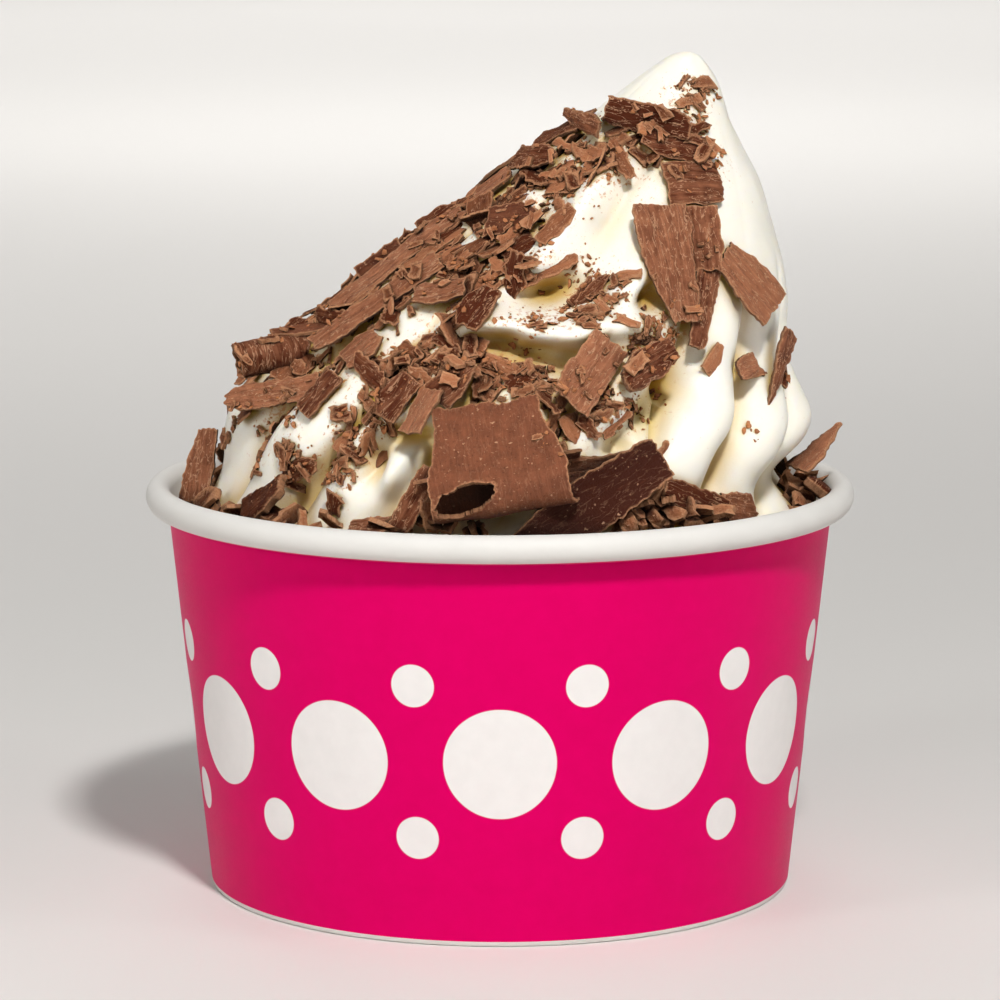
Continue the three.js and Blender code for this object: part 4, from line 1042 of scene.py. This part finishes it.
def spilled_bits(surface, cream_faces):
    """Chips, splinters and grains gathered where the shavings broke, as flakes and crumbs."""
    flakes, crumbs, shape = [], [], crumb_shape()
    for at, height, wide, tall, flake_count, crumb_count in SPILLS:
        around = math.degrees(1 / float(ring_value(RADIUS, height)))
        loose = SPLINTERS_A_FLAKE * flake_count
        chips, splinters = round(CHIPS_A_FLAKE * flake_count), round(loose + SPLINTERS_A_CRUMB * crumb_count)
        grains = round(GRAINS_A_CRUMB * crumb_count)
        clumps = rng.normal(0, 1, (1 + grains // CLUMP, 2)) * (wide, tall)
        for k in range(chips + splinters + grains):
            side, rise = rng.normal(0, 1, 2) * (wide, tall)
            if k >= chips + loose:
                side, rise = clumps[rng.integers(len(clumps))] + rng.normal(0, CLUMP_SPREAD, 2)
            degrees, z = at + side * around, height + rise
            place, normal, face = landing(surface, degrees, z)
            if place is None or not LOWEST_BIT <= place.z <= HIGHEST_BIT:
                continue
            if k < chips + splinters and is_clear(degrees, z):
                continue
            if face >= cream_faces and rng.random() > (0 if k < chips else BITS_ON_SHAVINGS):
                continue
            if k < chips:
                flakes.append(chip(place, normal, len(flakes), wide > LEDGE * tall))
            elif k < chips + splinters:
                long = SPLINTER_SHORTEST + SPLINTER_GROWTH * rng.random() ** 2
                broad = long * rng.uniform(*SPLINTER_WIDTHS)
                flakes.append(splinter(place, normal, k, long, broad, rng.uniform(*SPLINTER_THICKNESSES)))
            else:
                size = CRUMB_SMALLEST + CRUMB_GROWTH * rng.random() ** CRUMB_FEW
                crumbs.append(crumb(place, normal, k, size, shape))
    return flakes, crumbs


def trough_bits():
    """Splinters lying every way in the trough inside the rim."""
    flakes = []
    for at, spread, many, lowest, highest in TROUGH_BITS:
        for k in range(many):
            turn = math.radians(at + rng.uniform(-spread, spread))
            x, y = math.sin(turn), -math.cos(turn)
            radius, z = rng.uniform(*TROUGH_RADII), rng.uniform(lowest, highest)
            normal = Vector((rng.normal(0, 1) + x, rng.normal(0, 1) + y, TROUGH_UP)).normalized()
            long = rng.uniform(*TROUGH_LENGTHS)
            wide, thick = long * rng.uniform(*TROUGH_WIDTHS), rng.uniform(*TROUGH_THICKNESSES)
            flakes.append(splinter(Vector((radius * x, radius * y, z)), normal, k, long, wide, thick))
    return flakes


# Stage

def camera():
    """The photograph's view, fitted to the tub's rim and foot."""
    made = bpy.data.cameras.new("view")
    made.sensor_width, made.lens = CAMERA_SENSOR, CAMERA_LENS
    seen = bpy.data.objects.new("view", made)
    seen.location = CAMERA_PLACE
    seen.rotation_euler = (math.radians(CAMERA_TILT), 0, 0)
    bpy.context.scene.collection.objects.link(seen)
    bpy.context.scene.camera = seen


def lamp(name, place, size, power, mirrored, spread, aim=LAMP_AIM):
    """A soft lamp hung at a place and turned to its aim."""
    made = bpy.data.lights.new(name, "AREA")
    made.shape, made.size, made.size_y, made.energy = "RECTANGLE", size[0], size[1], power
    made.spread = math.radians(spread)
    hung = bpy.data.objects.new(name, made)
    hung.location = place
    hung.visible_glossy = mirrored
    hung.rotation_euler = (Vector(aim) - Vector(place)).to_track_quat("-Z", "Y").to_euler()
    bpy.context.scene.collection.objects.link(hung)


def studio():
    """A pale matte floor under soft lamps."""
    fresh()
    bpy.ops.mesh.primitive_plane_add(size=FLOOR_SIZE, location=(0, 0, 0))
    floor = bpy.context.object
    floor.name = "floor"
    made, tree = new_finish("pale_floor")
    sheet = add(tree, "BsdfPrincipled", {"Base Color": linear("#d6d3cf"), "Roughness": 0.7})
    add(tree, "OutputMaterial", {0: sheet})
    floor.data.materials.append(made)
    for row in LAMPS:
        lamp(*row)
    for ring, away, high, wide, power, spread in FLOOR_WASHES:
        for turn in range(0, 360, WASH_STEP):
            x, y = away * math.sin(math.radians(turn)), away * math.cos(math.radians(turn))
            lamp(f"{ring}_{turn}", (x, y, high), (wide, wide), power, False, spread, aim=(x, y, 0))
    world = bpy.data.worlds.new("studio")
    world.use_nodes = True
    world.node_tree.nodes.clear()
    sky = add(world.node_tree, "Background", {0: linear("#f4f2f0"), 1: SKY_STRENGTH})
    add(world.node_tree, "OutputWorld", {0: sky})
    bpy.context.scene.world = world
    bpy.context.scene.view_settings.view_transform = "Standard"


camera()
studio()
ink, white = printed_board(), bare_board()
# Darkest and palest colour, height of the ripples, width of the gaps painted dark as shade
rippled = milk_chocolate("milk_chocolate_rippled", "#53230d", "#b07352", 2.2, 4)
sleek = milk_chocolate("milk_chocolate_smooth", "#3f1605", "#9a5e41", 0.5, 6)
broken = milk_chocolate("milk_chocolate_broken", "#52230c", "#ae704c", 1.2, 3)
crumbled = milk_chocolate("milk_chocolate_crumbs", "#77391b", "#bd7747", 0.6, 1.2)

wall = tub_wall(ink, white)
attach(wall, "root")
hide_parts("cup_wall")
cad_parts["cup_base"].data.materials.clear()
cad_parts["cup_base"].data.materials.append(white)

cream = swirl(soft_serve())
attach(cream, "root")
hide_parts("ice_cream")

chocolate = []
for count, row in enumerate(SHAVINGS):
    finish = sleek if count in SMOOTH_SHAVINGS else rippled
    made = shaving(f"chocolate_shaving_{count + 1:02d}", row, count, finish)
    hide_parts(f"shaving_{count + 1:02d}")
    chocolate.append(made)
chocolate.append(stuck_flakes(broken))
fresh()

# Bits fall on the cream, the shavings and the flakes that are there
points, faces = [], []
for piece in [cream] + chocolate:
    faces += [[len(points) + i for i in face.vertices] for face in piece.data.polygons]
    points += [tuple(p) for p in coordinates(piece)]
flakes, crumbs = spilled_bits(BVHTree.FromPolygons(points, faces), len(cream.data.polygons))
chocolate.append(joined("small_flakes", flakes + trough_bits(), broken))
chocolate.append(joined("crumbs", crumbs, crumbled))
for piece in chocolate:
    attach(piece, "root")
